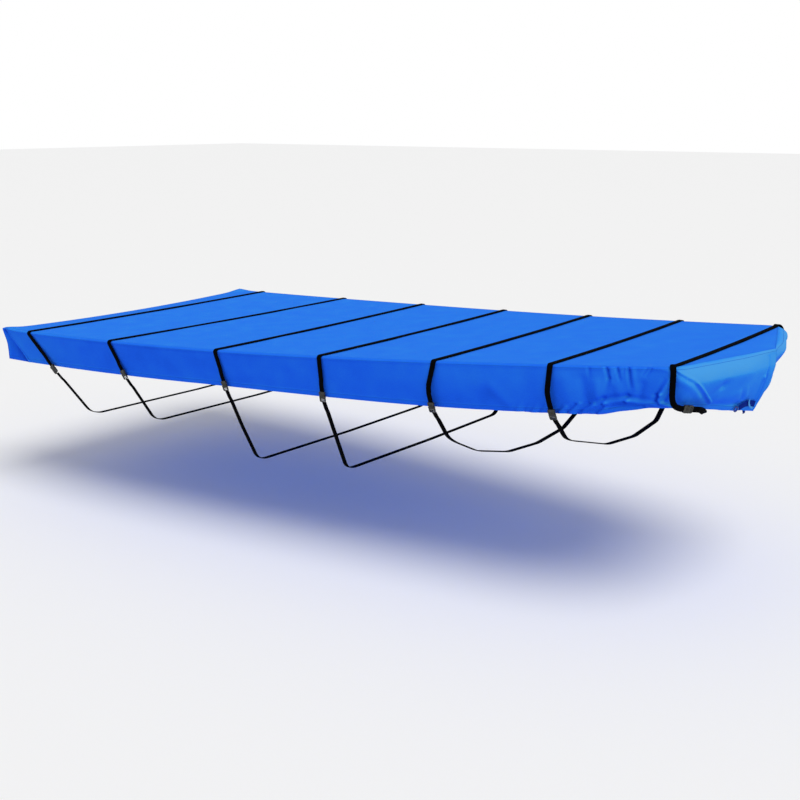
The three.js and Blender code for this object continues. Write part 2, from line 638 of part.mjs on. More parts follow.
// ---------------------------------------------------------------- assembly
function buildCover() {
  const cover = new THREE.Group();
  const skirt = skirtGrid(false);
  cover.add(
    mesh('top_panel', sheetGeometry(topGrid(), CLOTH), blueCloth),
    mesh('skirt_starboard', sheetGeometry(skirt, CLOTH), blueCloth),
    mesh('skirt_port', sheetGeometry(mirrored(skirtGrid(true)), CLOTH), blueCloth),
    mesh('stern_panel', sheetGeometry(sternGrid(skirt), CLOTH), blueCloth),
    bowTab(),
  );
  for (let i = 0; i < STRAPS.length; i += 1) {
    const strap = strapPiece(i);
    const number = i + 1;
    cover.add(
      mesh(`strap_${number}`, bandGeometry(strap.stations, WEBBING, WEBBING_THICKNESS), blackWebbing),
      bucklePieces(number, strap.centre, strap.up, strap.out),
    );
  }
  cover.position.set(-MID_X, 0, CLOTH - topHeight(MID_X, 0));
  return cover;
}

const group = buildCover();
export default group;
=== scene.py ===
"""Cloth, webbing and fittings of a fitted boat cover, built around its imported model.

The cover hangs as it does on its boat, which is left out: a level top, a side cloth down each side and
round the bow, a stern cloth, seven buckled straps that loop under the hull and a tab at the stem.

Sizes are in metres. Inside the classes x is measured from the stern edge and z from the rail at the
stern; Hull.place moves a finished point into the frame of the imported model.
"""

import logging
import math
from dataclasses import dataclass
from enum import Enum
from typing import Callable

import bmesh
import bpy
from mathutils import Matrix, Vector, noise


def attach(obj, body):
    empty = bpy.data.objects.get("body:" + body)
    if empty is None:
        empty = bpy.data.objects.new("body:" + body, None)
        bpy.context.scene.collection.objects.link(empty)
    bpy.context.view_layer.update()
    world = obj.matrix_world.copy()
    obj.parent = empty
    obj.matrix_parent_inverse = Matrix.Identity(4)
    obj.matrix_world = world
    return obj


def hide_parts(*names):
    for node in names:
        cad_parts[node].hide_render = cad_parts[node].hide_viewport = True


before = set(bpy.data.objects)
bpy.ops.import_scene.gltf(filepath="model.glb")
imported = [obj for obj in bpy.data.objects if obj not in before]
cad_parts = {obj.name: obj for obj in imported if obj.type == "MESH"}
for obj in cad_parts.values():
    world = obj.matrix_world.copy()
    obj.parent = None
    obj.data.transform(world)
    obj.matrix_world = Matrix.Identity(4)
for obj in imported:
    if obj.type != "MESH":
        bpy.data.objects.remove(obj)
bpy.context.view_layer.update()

LOG = logging.getLogger("boat_cover")
BODY = "root"
Pair = tuple[float, float]
Triple = tuple[float, float, float]


# ------------------------------------------------------------------------------------ small helpers
def clamp(value: float) -> float:
    """Keeps a value between 0 and 1."""
    return min(1.0, max(0.0, value))


def mix(start: float, end: float, share: float) -> float:
    """Goes from start to end as share goes from 0 to 1."""
    return start + (end - start) * share


def smooth(start: float, end: float, value: float) -> float:
    """Rises softly from 0 at start to 1 at end."""
    share = clamp((value - start) / (end - start))
    return share * share * (3 - 2 * share)


def bell(distance: float, reach: float) -> float:
    """A soft bump of height 1 that has mostly gone at twice its reach."""
    return math.exp(-((distance / reach) ** 2))


def mirrored(point: Vector) -> Vector:
    """The same place on the other side of the boat."""
    return Vector((point.x, -point.y, point.z))


# ------------------------------------------------------------------------------------ finishes
WAVE_SCALE = 0.314  # the scale at which a wave texture repeats once in a metre, about a tenth of pi


class Nodes:
    """Builds a node material around one Principled shader."""

    def __init__(self, name: str) -> None:
        """Starts an empty node material called name."""
        self.material = bpy.data.materials.new(name)
        self.material.use_nodes = True
        self.tree = self.material.node_tree
        self.shader = self.tree.nodes["Principled BSDF"]

    def add(self, kind: str, inputs: dict | None = None, **settings: object) -> bpy.types.Node:
        """Adds a node.

        Args:
            kind: the node's type name.
            inputs: socket name or number to a value, or to the socket that feeds it.
            settings: the node's own properties.

        Returns:
            The new node.
        """
        node = self.tree.nodes.new(kind)
        for key, value in settings.items():
            setattr(node, key, value)
        for key, value in (inputs or {}).items():
            if isinstance(value, bpy.types.NodeSocket):
                self.tree.links.new(value, node.inputs[key])
            else:
                node.inputs[key].default_value = value
        return node

    def math(self, operation: str, first: object, second: object = 0.0) -> bpy.types.NodeSocket:
        """Adds a Math node and returns its result."""
        return self.add("ShaderNodeMath", {0: first, 1: second}, operation=operation).outputs[0]

    def ramp(self, feed: bpy.types.NodeSocket, stops: list[tuple[float, Triple]]) -> bpy.types.NodeSocket:
        """Adds a colour ramp through the given stops and returns its colour."""
        node = self.add("ShaderNodeValToRGB", {"Fac": feed})
        elements = node.color_ramp.elements
        while len(elements) < len(stops):
            elements.new(0.5)
        for element, (position, colour) in zip(elements, stops):
            element.position = position
            element.color = (*colour, 1.0)
        return node.outputs["Color"]

    def waves(self, feed: bpy.types.NodeSocket, scale: float, direction: str) -> bpy.types.NodeSocket:
        """Adds bands of waves and returns their height."""
        node = self.add("ShaderNodeTexWave", {"Vector": feed, "Scale": scale}, bands_direction=direction)
        return node.outputs["Fac"]

    def bump(self, height: bpy.types.NodeSocket, depth: float, below: object = None) -> bpy.types.NodeSocket:
        """Adds a bump of that depth in metres over the one below it and returns its normal."""
        inputs = {"Height": height, "Distance": depth, "Strength": 1.0}
        if below is not None:
            inputs["Normal"] = below
        return self.add("ShaderNodeBump", inputs).outputs["Normal"]

    def set(self, **values: object) -> None:
        """Sets or links the shader's sockets, named with underscores for spaces."""
        for key, value in values.items():
            socket = self.shader.inputs[key.replace("_", " ")]
            if isinstance(value, bpy.types.NodeSocket):
                self.tree.links.new(value, socket)
            else:
                socket.default_value = value


@dataclass(frozen=True)
class CoverCloth:
    """Coated woven polyester in one blue, with painted light and shade: paler where a face turns to the sun,
    darker where it turns away.
    """

    name: str = "coated_polyester_blue"
    # painted light and shade: the five tones below are lit and shaded copies of one blue, running from faces
    # turned from the sun to faces turned most to it
    shaded: Triple = (0.0008, 0.036, 0.54)
    side: Triple = (0.0100, 0.126, 0.94)
    sunny: Triple = (0.0200, 0.215, 0.92)
    bow: Triple = (0.0310, 0.295, 0.90)
    brightest_lit: Triple = (0.0650, 0.340, 0.79)
    thread: Triple = (0.010, 0.110, 0.62)
    yarn: float = 0.0009
    stitch_row: float = 0.006
    stitch_width: float = 0.0007
    stitch_length: float = 0.0045
    stitch_share: float = 0.72

    def material(self) -> bpy.types.Material:
        """Weave, slubs, colour painted lighter and darker by how each face turns to the sun (painted light
        and shade) with random mottling, and the rows of stitches beside each seam and hem.
        """
        n = Nodes(self.name)
        cut = n.add("ShaderNodeUVMap", uv_map="cut").outputs["UV"]
        # painted light and shade: this attribute holds how much painted light each corner gets
        painted_light = n.add("ShaderNodeAttribute", attribute_name="painted_light").outputs["Fac"]
        edge = n.add("ShaderNodeAttribute", attribute_name="edge").outputs["Fac"]
        along = n.add("ShaderNodeSeparateXYZ", {0: cut}).outputs["X"]
        cloud = n.add("ShaderNodeTexNoise", {"Vector": cut, "Scale": 9.0, "Detail": 4.0}).outputs["Fac"]
        grain = n.add("ShaderNodeTexNoise", {"Vector": cut, "Scale": 210.0, "Detail": 2.0}).outputs["Fac"]
        # painted light and shade, with random mottling from two noises on top, picks the cloth's tone
        painted_light_and_mottle = n.math("ADD", painted_light, n.math("MULTIPLY", n.math("SUBTRACT", cloud, 0.5), 0.16))
        painted_light_and_mottle = n.math("ADD", painted_light_and_mottle, n.math("MULTIPLY", n.math("SUBTRACT", grain, 0.5), 0.20))
        colour = n.ramp(painted_light_and_mottle, [(0.30, self.shaded), (0.55, self.side), (0.78, self.sunny), (0.85, self.bow),
                               (0.985, self.brightest_lit)])
        row = n.math("COMPARE", edge, self.stitch_row)
        n.tree.nodes[-1].inputs[2].default_value = self.stitch_width
        dash = n.math("FRACT", n.math("DIVIDE", along, self.stitch_length))
        stitch = n.math("MULTIPLY", row, n.math("LESS_THAN", dash, self.stitch_share))
        sewn = n.add("ShaderNodeMix", {0: stitch, 6: colour, 7: (*self.thread, 1.0)}, data_type="RGBA")
        warp = n.waves(cut, WAVE_SCALE / self.yarn, "X")
        weft = n.waves(cut, WAVE_SCALE / self.yarn, "Y")
        weave = n.math("MULTIPLY", warp, weft)
        slack = n.add("ShaderNodeTexNoise", {"Vector": cut, "Scale": 34.0, "Detail": 3.0}).outputs["Fac"]
        normal = n.bump(slack, 0.0011)
        normal = n.bump(grain, 0.00018, normal)
        normal = n.bump(weave, 0.00005, normal)
        normal = n.bump(stitch, 0.0004, normal)
        n.set(Base_Color=sewn.outputs[2], Roughness=0.85, Normal=normal)
        n.set(Sheen_Weight=0.03, Sheen_Roughness=0.5, Sheen_Tint=(0.1, 0.5, 1.0, 1.0),
              Specular_IOR_Level=0.04)
        return n.material


@dataclass(frozen=True)
class WovenWebbing:
    """Flat webbing with ribs across it and a rounder selvedge along each edge."""

    name: str
    colour: Triple
    worn: Triple
    rib: float = 0.0016

    def material(self) -> bpy.types.Material:
        """Ribs, a fine herringbone and dusty high yarns."""
        n = Nodes(self.name)
        cut = n.add("ShaderNodeUVMap", uv_map="cut").outputs["UV"]
        ribs = n.waves(cut, WAVE_SCALE / self.rib, "X")
        twill = n.waves(cut, 0.5 / self.rib, "DIAGONAL")
        dust = n.add("ShaderNodeTexNoise", {"Vector": cut, "Scale": 40.0, "Detail": 5.0}).outputs["Fac"]
        height = n.math("ADD", ribs, n.math("MULTIPLY", twill, 0.4))
        share = n.math("MULTIPLY", n.math("MULTIPLY", height, dust), 0.7)
        colour = n.ramp(share, [(0.0, self.colour), (1.0, self.worn)])
        n.set(Base_Color=colour, Roughness=0.9, Normal=n.bump(height, 0.00018))
        n.set(Sheen_Weight=0.0, Specular_IOR_Level=0.02)
        return n.material


@dataclass(frozen=True)
class MouldedPlastic:
    """Moulded dark nylon, satin, with a fine spark texture and paler rubbed edges."""

    name: str = "moulded_nylon_dark"
    colour: Triple = (0.012, 0.012, 0.009)
    rubbed: Triple = (0.055, 0.055, 0.045)

    def material(self) -> bpy.types.Material:
        """Spark texture, uneven gloss and scuffs."""
        n = Nodes(self.name)
        here = n.add("ShaderNodeTexCoord").outputs["Object"]
        spark = n.add("ShaderNodeTexNoise", {"Vector": here, "Scale": 2600.0, "Detail": 3.0}).outputs["Fac"]
        scuff = n.add("ShaderNodeTexNoise", {"Vector": here, "Scale": 90.0, "Detail": 6.0}).outputs["Fac"]
        colour = n.ramp(scuff, [(0.45, self.colour), (0.8, self.rubbed)])
        gloss = n.math("ADD", 0.3, n.math("MULTIPLY", scuff, 0.25))
        n.set(Base_Color=colour, Roughness=gloss, Normal=n.bump(spark, 0.00008), Specular_IOR_Level=0.5)
        return n.material


@dataclass(frozen=True)
class PaintedMetal:
    """Navy enamel over a pressed steel eyelet, thin on its rim."""

    name: str = "navy_enamelled_steel"
    colour: Triple = (0.004, 0.014, 0.20)
    bare: Triple = (0.02, 0.06, 0.34)

    def material(self) -> bpy.types.Material:
        """Enamel with orange peel and worn spots."""
        n = Nodes(self.name)
        here = n.add("ShaderNodeTexCoord").outputs["Object"]
        peel = n.add("ShaderNodeTexNoise", {"Vector": here, "Scale": 700.0, "Detail": 2.0}).outputs["Fac"]
        wear = n.add("ShaderNodeTexNoise", {"Vector": here, "Scale": 240.0, "Detail": 6.0}).outputs["Fac"]
        colour = n.ramp(wear, [(0.5, self.colour), (0.78, self.bare)])
        gloss = n.math("ADD", 0.2, n.math("MULTIPLY", wear, 0.3))
        n.set(Base_Color=colour, Roughness=gloss, Metallic=0.0, Specular_IOR_Level=0.3)
        n.set(Normal=n.bump(peel, 0.00006))
        return n.material


# ------------------------------------------------------------------------------------ the boat's rail
@dataclass(frozen=True)
class Hull:
    """Plan outline and sheer of the rail that the cover is cut to."""

    stern_half_beam: float = 0.958
    taper: float = 0.146
    shoulder: float = 1.350
    shoulder_softness: float = 0.900
    corner_start: float = 3.760
    corner: Pair = (3.826, -0.569)
    stem: Pair = (4.016, 0.0)
    corner_on_bow: float = 0.1
    sheer_start: float = 0.200
    sheer_length: float = 3.618
    sheer_rise: float = 0.100
    sheer_curve: float = 0.108
    bow_slope: float = 0.03
    rail_radius: float = 0.016
    seam_gap: float = 0.0003
    seam_start: float = 0.014
    seam_foot: float = 0.188
    peak: float = 0.009
    peak_reach: float = 0.075
    sag: float = 0.005
    stern_sag: float = 0.013
    stern_sag_reach: float = 0.110
    middle: float = 1.935
    cloth: float = 0.002

    def half_beam(self, x: float) -> float:
        """Half the beam over the cloth at x."""
        past = x - self.shoulder
        return self.stern_half_beam - self.taper / 2 * (past + math.hypot(past, self.shoulder_softness))

    def rail_height(self, x: float) -> float:
        """Height of the rail at x."""
        share = (min(x, self.sheer_start + self.sheer_length) - self.sheer_start) / self.sheer_length
        beyond = max(0.0, x - self.sheer_start - self.sheer_length)
        return self.sheer_rise * share + self.sheer_curve * share * abs(share) + self.bow_slope * beyond

    def corner_peak(self, x: float, y: float) -> float:
        """How far the stern corners stand up at a place on top."""
        aside = self.half_beam(0.0) - self.rail_radius - abs(y)
        return self.peak * bell(math.hypot(x, aside), self.peak_reach)

    def seam(self, u: float, aft_x: float) -> Vector:
        """A place on the starboard top seam.

        Args:
            u: 0 to 1 along the side, 1 to 2 round the bow corner, 2 to 3 along the bow edge.
            aft_x: where the side starts.

        Returns:
            The place, with its height left at 0.
        """
        corner, stem = Vector((*self.corner, 0)), Vector((*self.stem, 0))
        end = corner.lerp(stem, self.corner_on_bow)
        if u <= 1:
            x = mix(aft_x, self.corner_start, u)
            return Vector((x, self.rail_radius - self.half_beam(x), 0))
        if u <= 2:
            start = Vector((self.corner_start, self.rail_radius - self.half_beam(self.corner_start), 0))
            share = u - 1
            return start.lerp(corner, share).lerp(corner.lerp(end, share), share)
        return end.lerp(stem, u - 2)

    def outward(self, u: float, aft_x: float) -> Vector:
        """The level direction out of the boat at u."""
        step = 0.002
        along = self.seam(min(3.0, u + step), aft_x) - self.seam(max(0.0, u - step), aft_x)
        out = Vector((along.y, -along.x, 0)).normalized()
        return out.lerp(Vector((1, 0, 0)), smooth(2.7, 3.0, u)).normalized()

    def seam_distance(self, u: float, x: float) -> float:
        """Distance along the top seam from the stern to u."""
        bow = (Vector(self.stem) - Vector(self.corner)).length
        if u <= 1:
            return x
        if u <= 2:
            return mix(self.corner_start, self.corner[0] + self.corner_on_bow * bow, u - 1)
        return self.corner[0] + bow * mix(self.corner_on_bow, 1.0, u - 2)

    def u_at(self, x: float, low: float = 1.0, high: float = 3.0) -> float:
        """The u whose seam is at x."""
        if x <= self.corner_start:
            return (x - self.seam_start) / (self.corner_start - self.seam_start)
        for _ in range(40):
            middle = (low + high) / 2
            if self.seam(middle, self.seam_start).x < x:
                low = middle
            else:
                high = middle
        return low

    def edge_y(self, x: float) -> float:
        """The starboard edge of the top cloth at x."""
        if x <= self.corner_start:
            return self.rail_radius - self.half_beam(x)
        return self.seam(self.u_at(x), self.seam_start).y

    def top_height(self, x: float, y: float, edge: float | None = None) -> float:
        """Height of the top cloth, which sags a little between the rails."""
        edge = abs(self.edge_y(x) if edge is None else edge)
        across = clamp(1 - (y / edge) ** 2) if edge > 0 else 0.0
        sag = (self.sag + self.stern_sag * bell(x, self.stern_sag_reach)) * across * clamp(edge / 0.5)
        return self.rail_height(x) + self.corner_peak(x, y) - sag

    def place(self, point: Vector) -> Vector:
        """Moves a point from the hull's own measure into the model's frame."""
        lift = self.cloth - self.top_height(self.middle, 0.0)
        return point + Vector((-self.middle, 0, lift))


HULL = Hull()


# ------------------------------------------------------------------------------------ folds in cloth
@dataclass(frozen=True)
class Crease:
    """A fold along a line on the cloth, given as distance along the top seam and drop below it."""

    start: Pair
    end: Pair
    height: float
    width: float
    ends: Pair = (1.0, 1.0)

    def lift(self, along: float, drop: float) -> float:
        """How far the fold lifts the cloth outward at a place."""
        run, fall = self.end[0] - self.start[0], self.end[1] - self.start[1]
        reach = run * run + fall * fall
        across, down = along - self.start[0], drop - self.start[1]
        share = clamp((across * run + down * fall) / reach)
        across -= share * run
        down -= share * fall
        far = (across * across + down * down) / (self.width * self.width)
        if far > 9:
            return 0.0
        return self.height * math.exp(-far) * mix(*self.ends, share)


# where straps 1 to 6 lie on a side cloth, from the rail to the hem, in a crease's own measure
STRAP_RUNS = [
    ((0.220, 0.016), (0.400, 0.196)), ((0.876, 0.016), (0.962, 0.186)), ((1.604, 0.016), (1.644, 0.190)),
    ((2.206, 0.016), (2.212, 0.200)), ((2.788, 0.016), (2.778, 0.206)), ((3.318, 0.016), (3.330, 0.200)),
]
STRAP_TROUGHS = [Crease(top, foot, -0.0022, 0.018) for top, foot in STRAP_RUNS]

STARBOARD_CREASES = STRAP_TROUGHS + [
    # tight ridge from the bow corner, with the softer one under it
    Crease((3.828, 0.012), (4.064, 0.182), 0.0070, 0.0052, ends=(0.6, 1.0)),
    Crease((3.868, 0.054), (4.036, 0.176), -0.0030, 0.0080, ends=(0.5, 1.0)),
    Crease((3.834, 0.054), (3.964, 0.145), 0.0048, 0.0120, ends=(0.4, 1.0)),
    # hollow forward of the tight ridge
    Crease((4.010, 0.146), (4.084, 0.104), -0.0058, 0.0200, ends=(0.3, 1.0)),
    Crease((4.084, 0.104), (4.140, 0.096), -0.0058, 0.0220, ends=(1.0, 0.2)),
    Crease((4.090, 0.168), (4.200, 0.160), 0.0040, 0.0240),
    Crease((4.212, 0.140), (4.251, 0.189), -0.0050, 0.0120, ends=(0.3, 1.0)),
    Crease((4.236, 0.130), (4.275, 0.186), 0.0036, 0.0130, ends=(0.2, 1.0)),
    # tuck along the bow hem
    Crease((3.960, 0.178), (4.240, 0.212), -0.0055, 0.0150, ends=(0.5, 1.0)),
    Crease((4.240, 0.212), (4.330, 0.226), -0.0050, 0.0150, ends=(1.0, 0.4)),
    # long folds beside the stem seam
    Crease((4.368, 0.020), (4.364, 0.114), 0.0030, 0.0100, ends=(0.1, 1.0)),
    Crease((4.364, 0.114), (4.386, 0.214), 0.0060, 0.0095),
    Crease((4.378, 0.030), (4.384, 0.124), -0.0060, 0.0080, ends=(0.5, 1.0)),
    Crease((4.384, 0.124), (4.405, 0.232), -0.0085, 0.0090),
    # foot of strap 7, where the cloth is drawn up
    Crease((3.800, 0.050), (3.771, 0.110), 0.0080, 0.0080, ends=(0.5, 1.0)),
    Crease((3.771, 0.110), (3.765, 0.134), 0.0085, 0.0085),
    Crease((3.784, 0.046), (3.752, 0.112), -0.0040, 0.0080, ends=(0.3, 1.0)),
    Crease((3.752, 0.112), (3.744, 0.140), -0.0036, 0.0080),
    Crease((3.806, 0.096), (3.788, 0.134), -0.0070, 0.0100),
    Crease((3.770, 0.147), (3.808, 0.162), 0.0060, 0.0075),
    Crease((3.840, 0.120), (3.850, 0.172), -0.0060, 0.0130, ends=(0.2, 1.0)),
    Crease((3.900, 0.120), (3.890, 0.176), 0.0045, 0.0130, ends=(0.2, 1.0)),
    # pleats gathered under the rail
    Crease((3.550, 0.006), (3.565, 0.049), -0.0075, 0.0058, ends=(1.0, 0.5)),
    Crease((3.565, 0.049), (3.552, 0.105), -0.0038, 0.0090, ends=(1.0, 0.2)),
    Crease((3.572, 0.010), (3.580, 0.070), 0.0042, 0.0080, ends=(1.0, 0.2)),
    Crease((3.595, 0.007), (3.610, 0.053), -0.0072, 0.0055, ends=(1.0, 0.4)),
    Crease((3.625, 0.008), (3.625, 0.035), -0.0050, 0.0045, ends=(1.0, 0.3)),
    Crease((3.640, 0.006), (3.655, 0.081), -0.0072, 0.0060, ends=(1.0, 0.3)),
    Crease((3.660, 0.010), (3.676, 0.090), 0.0048, 0.0090, ends=(0.9, 0.3)),
    Crease((3.716, 0.006), (3.700, 0.031), -0.0056, 0.0048, ends=(1.0, 0.3)),
    Crease((3.732, 0.007), (3.715, 0.036), -0.0056, 0.0048, ends=(1.0, 0.3)),
    Crease((3.480, 0.010), (3.486, 0.050), -0.0040, 0.0070, ends=(1.0, 0.2)),
    # broad slack below them
    Crease((3.455, 0.060), (3.470, 0.140), -0.0044, 0.0230),
    Crease((3.515, 0.070), (3.520, 0.120), 0.0040, 0.0200),
    Crease((3.600, 0.080), (3.610, 0.118), 0.0036, 0.0200),
    Crease((3.700, 0.070), (3.690, 0.125), -0.0045, 0.0180),
    Crease((3.200, 0.060), (3.235, 0.150), -0.0030, 0.0400),
    Crease((3.380, 0.060), (3.400, 0.140), 0.0034, 0.0320),
    Crease((2.940, 0.060), (2.990, 0.160), -0.0022, 0.0400),
    Crease((3.060, 0.100), (3.130, 0.170), 0.0030, 0.0260),
    # roll of slack cloth above the hem
    Crease((3.460, 0.188), (3.550, 0.151), 0.0080, 0.0095, ends=(0.5, 1.0)),
    Crease((3.550, 0.151), (3.640, 0.140), 0.0085, 0.0100),
    Crease((3.640, 0.140), (3.745, 0.151), 0.0075, 0.0090, ends=(1.0, 0.5)),
    Crease((3.440, 0.172), (3.545, 0.132), -0.0060, 0.0100, ends=(0.4, 1.0)),
    Crease((3.545, 0.132), (3.640, 0.120), -0.0060, 0.0110),
    Crease((3.640, 0.120), (3.730, 0.132), -0.0050, 0.0100, ends=(1.0, 0.2)),
    Crease((3.560, 0.170), (3.700, 0.164), -0.0050, 0.0080),
    # gathers along the hem
    Crease((3.355, 0.200), (3.385, 0.177), 0.0052, 0.0070),
    Crease((3.340, 0.202), (3.366, 0.172), -0.0044, 0.0065, ends=(1.0, 0.3)),
    Crease((3.400, 0.198), (3.445, 0.161), 0.0058, 0.0075),
    Crease((3.384, 0.200), (3.424, 0.164), -0.0056, 0.0068),
    Crease((3.445, 0.204), (3.505, 0.159), 0.0060, 0.0075),
    Crease((3.428, 0.202), (3.482, 0.162), -0.0052, 0.0068),
    Crease((3.520, 0.198), (3.565, 0.160), 0.0045, 0.0070),
    Crease((3.504, 0.198), (3.540, 0.168), -0.0044, 0.0065),
    Crease((3.312, 0.206), (3.336, 0.168), 0.0044, 0.0080, ends=(1.0, 0.2)),
    Crease((3.262, 0.206), (3.284, 0.174), -0.0042, 0.0065, ends=(1.0, 0.3)),
    Crease((3.236, 0.206), (3.262, 0.168), 0.0042, 0.0080, ends=(1.0, 0.2)),
    Crease((3.196, 0.206), (3.214, 0.176), -0.0036, 0.0070, ends=(1.0, 0.2)),
    Crease((3.168, 0.206), (3.190, 0.166), 0.0036, 0.0090, ends=(1.0, 0.2)),
    # a faint pull from the stern corner
    Crease((0.040, 0.010), (0.160, 0.150), 0.0016, 0.0220),
]

PORT_CREASES = STRAP_TROUGHS + [
    Crease((3.900, 0.100), (4.380, 0.110), -0.0200, 0.0420),
    Crease((4.000, 0.190), (4.300, 0.200), 0.0070, 0.0280),
    Crease((3.890, 0.020), (4.050, 0.150), 0.0050, 0.0120, ends=(1.0, 0.3)),
    Crease((4.380, 0.080), (4.320, 0.220), -0.0060, 0.0130),
    Crease((3.250, 0.185), (3.540, 0.150), 0.0070, 0.0130),
    Crease((3.250, 0.165), (3.540, 0.130), -0.0050, 0.0120),
    Crease((3.700, 0.150), (3.755, 0.090), 0.0060, 0.0100),
    Crease((3.480, 0.010), (3.476, 0.080), -0.0046, 0.0070, ends=(1.0, 0.2)),
    Crease((3.520, 0.010), (3.530, 0.090), 0.0040, 0.0100, ends=(1.0, 0.2)),
    Crease((3.590, 0.010), (3.600, 0.070), -0.0046, 0.0070, ends=(1.0, 0.2)),
    Crease((3.660, 0.010), (3.640, 0.080), 0.0040, 0.0090, ends=(1.0, 0.2)),
    Crease((3.160, 0.165), (3.140, 0.205), 0.0045, 0.0100),
    Crease((3.300, 0.170), (3.270, 0.206), -0.0045, 0.0080),
    Crease((3.060, 0.100), (3.130, 0.170), 0.0028, 0.0260),
]


# ------------------------------------------------------------------------------------ making sheets
# painted light: faces turned to SUN are painted lighter and faces turned from it darker; SKY_SHARE is the
# painted light that every face gets
SUN = Vector((0.80, -0.13, 0.55)).normalized()
SKY_SHARE = 0.5


@dataclass(frozen=True)
class Spot:
    """A place on a sheet: where it is, its place on the flat cut and its distance from the nearest edge.

    shade is painted shade taken off the painted light; below 0 it paints extra light.
    """

    point: Vector
    cut: Pair
    edge: float = 1.0
    shade: float = 0.0


def sheet_mesh(name: str, columns: int, rows: int, spot: Callable[[int, int], Spot], outside: Vector | None,
               thickness: float) -> bpy.types.Object:
    """Makes a sheet from a grid whose corners are moved onto a surface, paints light and shade into its
    corners by how they face the sun, then gives it its thickness.

    Args:
        name: the piece's name.
        columns: faces along the grid.
        rows: faces across the grid.
        spot: gives the place of a grid corner by its column and row.
        outside: a direction that the outer face looks along, or None when the grid is already right.
        thickness: the sheet's thickness, which goes inward from the surface.

    Returns:
        The finished piece, riding on the cover.
    """
    bm = bmesh.new()
    bmesh.ops.create_grid(bm, x_segments=columns, y_segments=rows, size=0.5)
    cut = bm.loops.layers.uv.new("cut")
    edge = bm.verts.layers.float.new("edge")
    painted_light = bm.verts.layers.float.new("painted_light")
    cuts: dict[int, Pair] = {}
    bm.verts.index_update()
    for vert in bm.verts:
        here = spot(round((vert.co.x + 0.5) * columns), round((vert.co.y + 0.5) * rows))
        vert.co = HULL.place(here.point)
        vert[edge] = here.edge
        vert[painted_light] = -here.shade
        cuts[vert.index] = here.cut
    bm.normal_update()
    if outside is not None and sum((f.normal * f.calc_area() for f in bm.faces), Vector()).dot(outside) < 0:
        bmesh.ops.reverse_faces(bm, faces=bm.faces[:])
        bm.normal_update()
    for vert in bm.verts:
        # painted light and shade: each corner's tone follows how its face turns to the sun, less any painted
        # shade set on its spot
        vert[painted_light] = clamp(vert[painted_light] + SKY_SHARE + (1 - SKY_SHARE) * vert.normal.dot(SUN))
    for face in bm.faces:
        face.smooth = True
        for loop in face.loops:
            loop[cut].uv = cuts[loop.vert.index]
    piece = finish_mesh(name, bm)
    solid = piece.modifiers.new("thickness", "SOLIDIFY")
    solid.thickness = thickness
    solid.offset = -1.0
    return piece


def placed(name: str, data: bpy.types.ID) -> bpy.types.Object:
    """Adds an object for a mesh, lamp or camera to the scene."""
    thing = bpy.data.objects.new(name, data)
    bpy.context.scene.collection.objects.link(thing)
    return thing


def to_mesh(name: str, bm: bmesh.types.BMesh) -> bpy.types.Mesh:
    """Turns a bmesh into a mesh and frees it."""
    mesh = bpy.data.meshes.new(name)
    bm.to_mesh(mesh)
    bm.free()
    return mesh


def finish_mesh(name: str, bm: bmesh.types.BMesh) -> bpy.types.Object:
    """Turns a bmesh into a piece of the cover at the origin, riding on its one body."""
    piece = placed(name, to_mesh(name, bm))
    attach(piece, BODY)
    return piece


def dress(piece: bpy.types.Object, material: bpy.types.Material, slot: str, *nodes: str) -> None:
    """Gives a piece its material and hides the imported CAD parts that it stands in for."""
    piece.data.materials.append(material)
    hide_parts(*nodes)
    LOG.info("%s: %d faces", piece.name, len(piece.data.polygons))


@dataclass(frozen=True)
class Columns:
    """The columns shared by the side cloths and the top, close together where the folds are."""

    aft: int = 180
    fore: int = 160
    corner: int = 40
    bow: int = 150
    fore_start: float = 2.80
    top_end: float = 2.985

    def all(self) -> list[float]:
        """The u of every column, from the stern seam to the stem."""
        split = HULL.u_at(self.fore_start)
        runs = [(self.aft, 0.0, split), (self.fore, split, 1.0), (self.corner, 1.0, 2.0),
                (self.bow, 2.0, self.top_end)]
        found = [mix(start, end, i / count) for count, start, end in runs for i in range(count)]
        return [*found, self.top_end, 3.0]


# ------------------------------------------------------------------------------------ cloths
class Side(Enum):
    """The side of the boat that a side cloth hangs on."""

    STARBOARD = "starboard"
    PORT = "port"


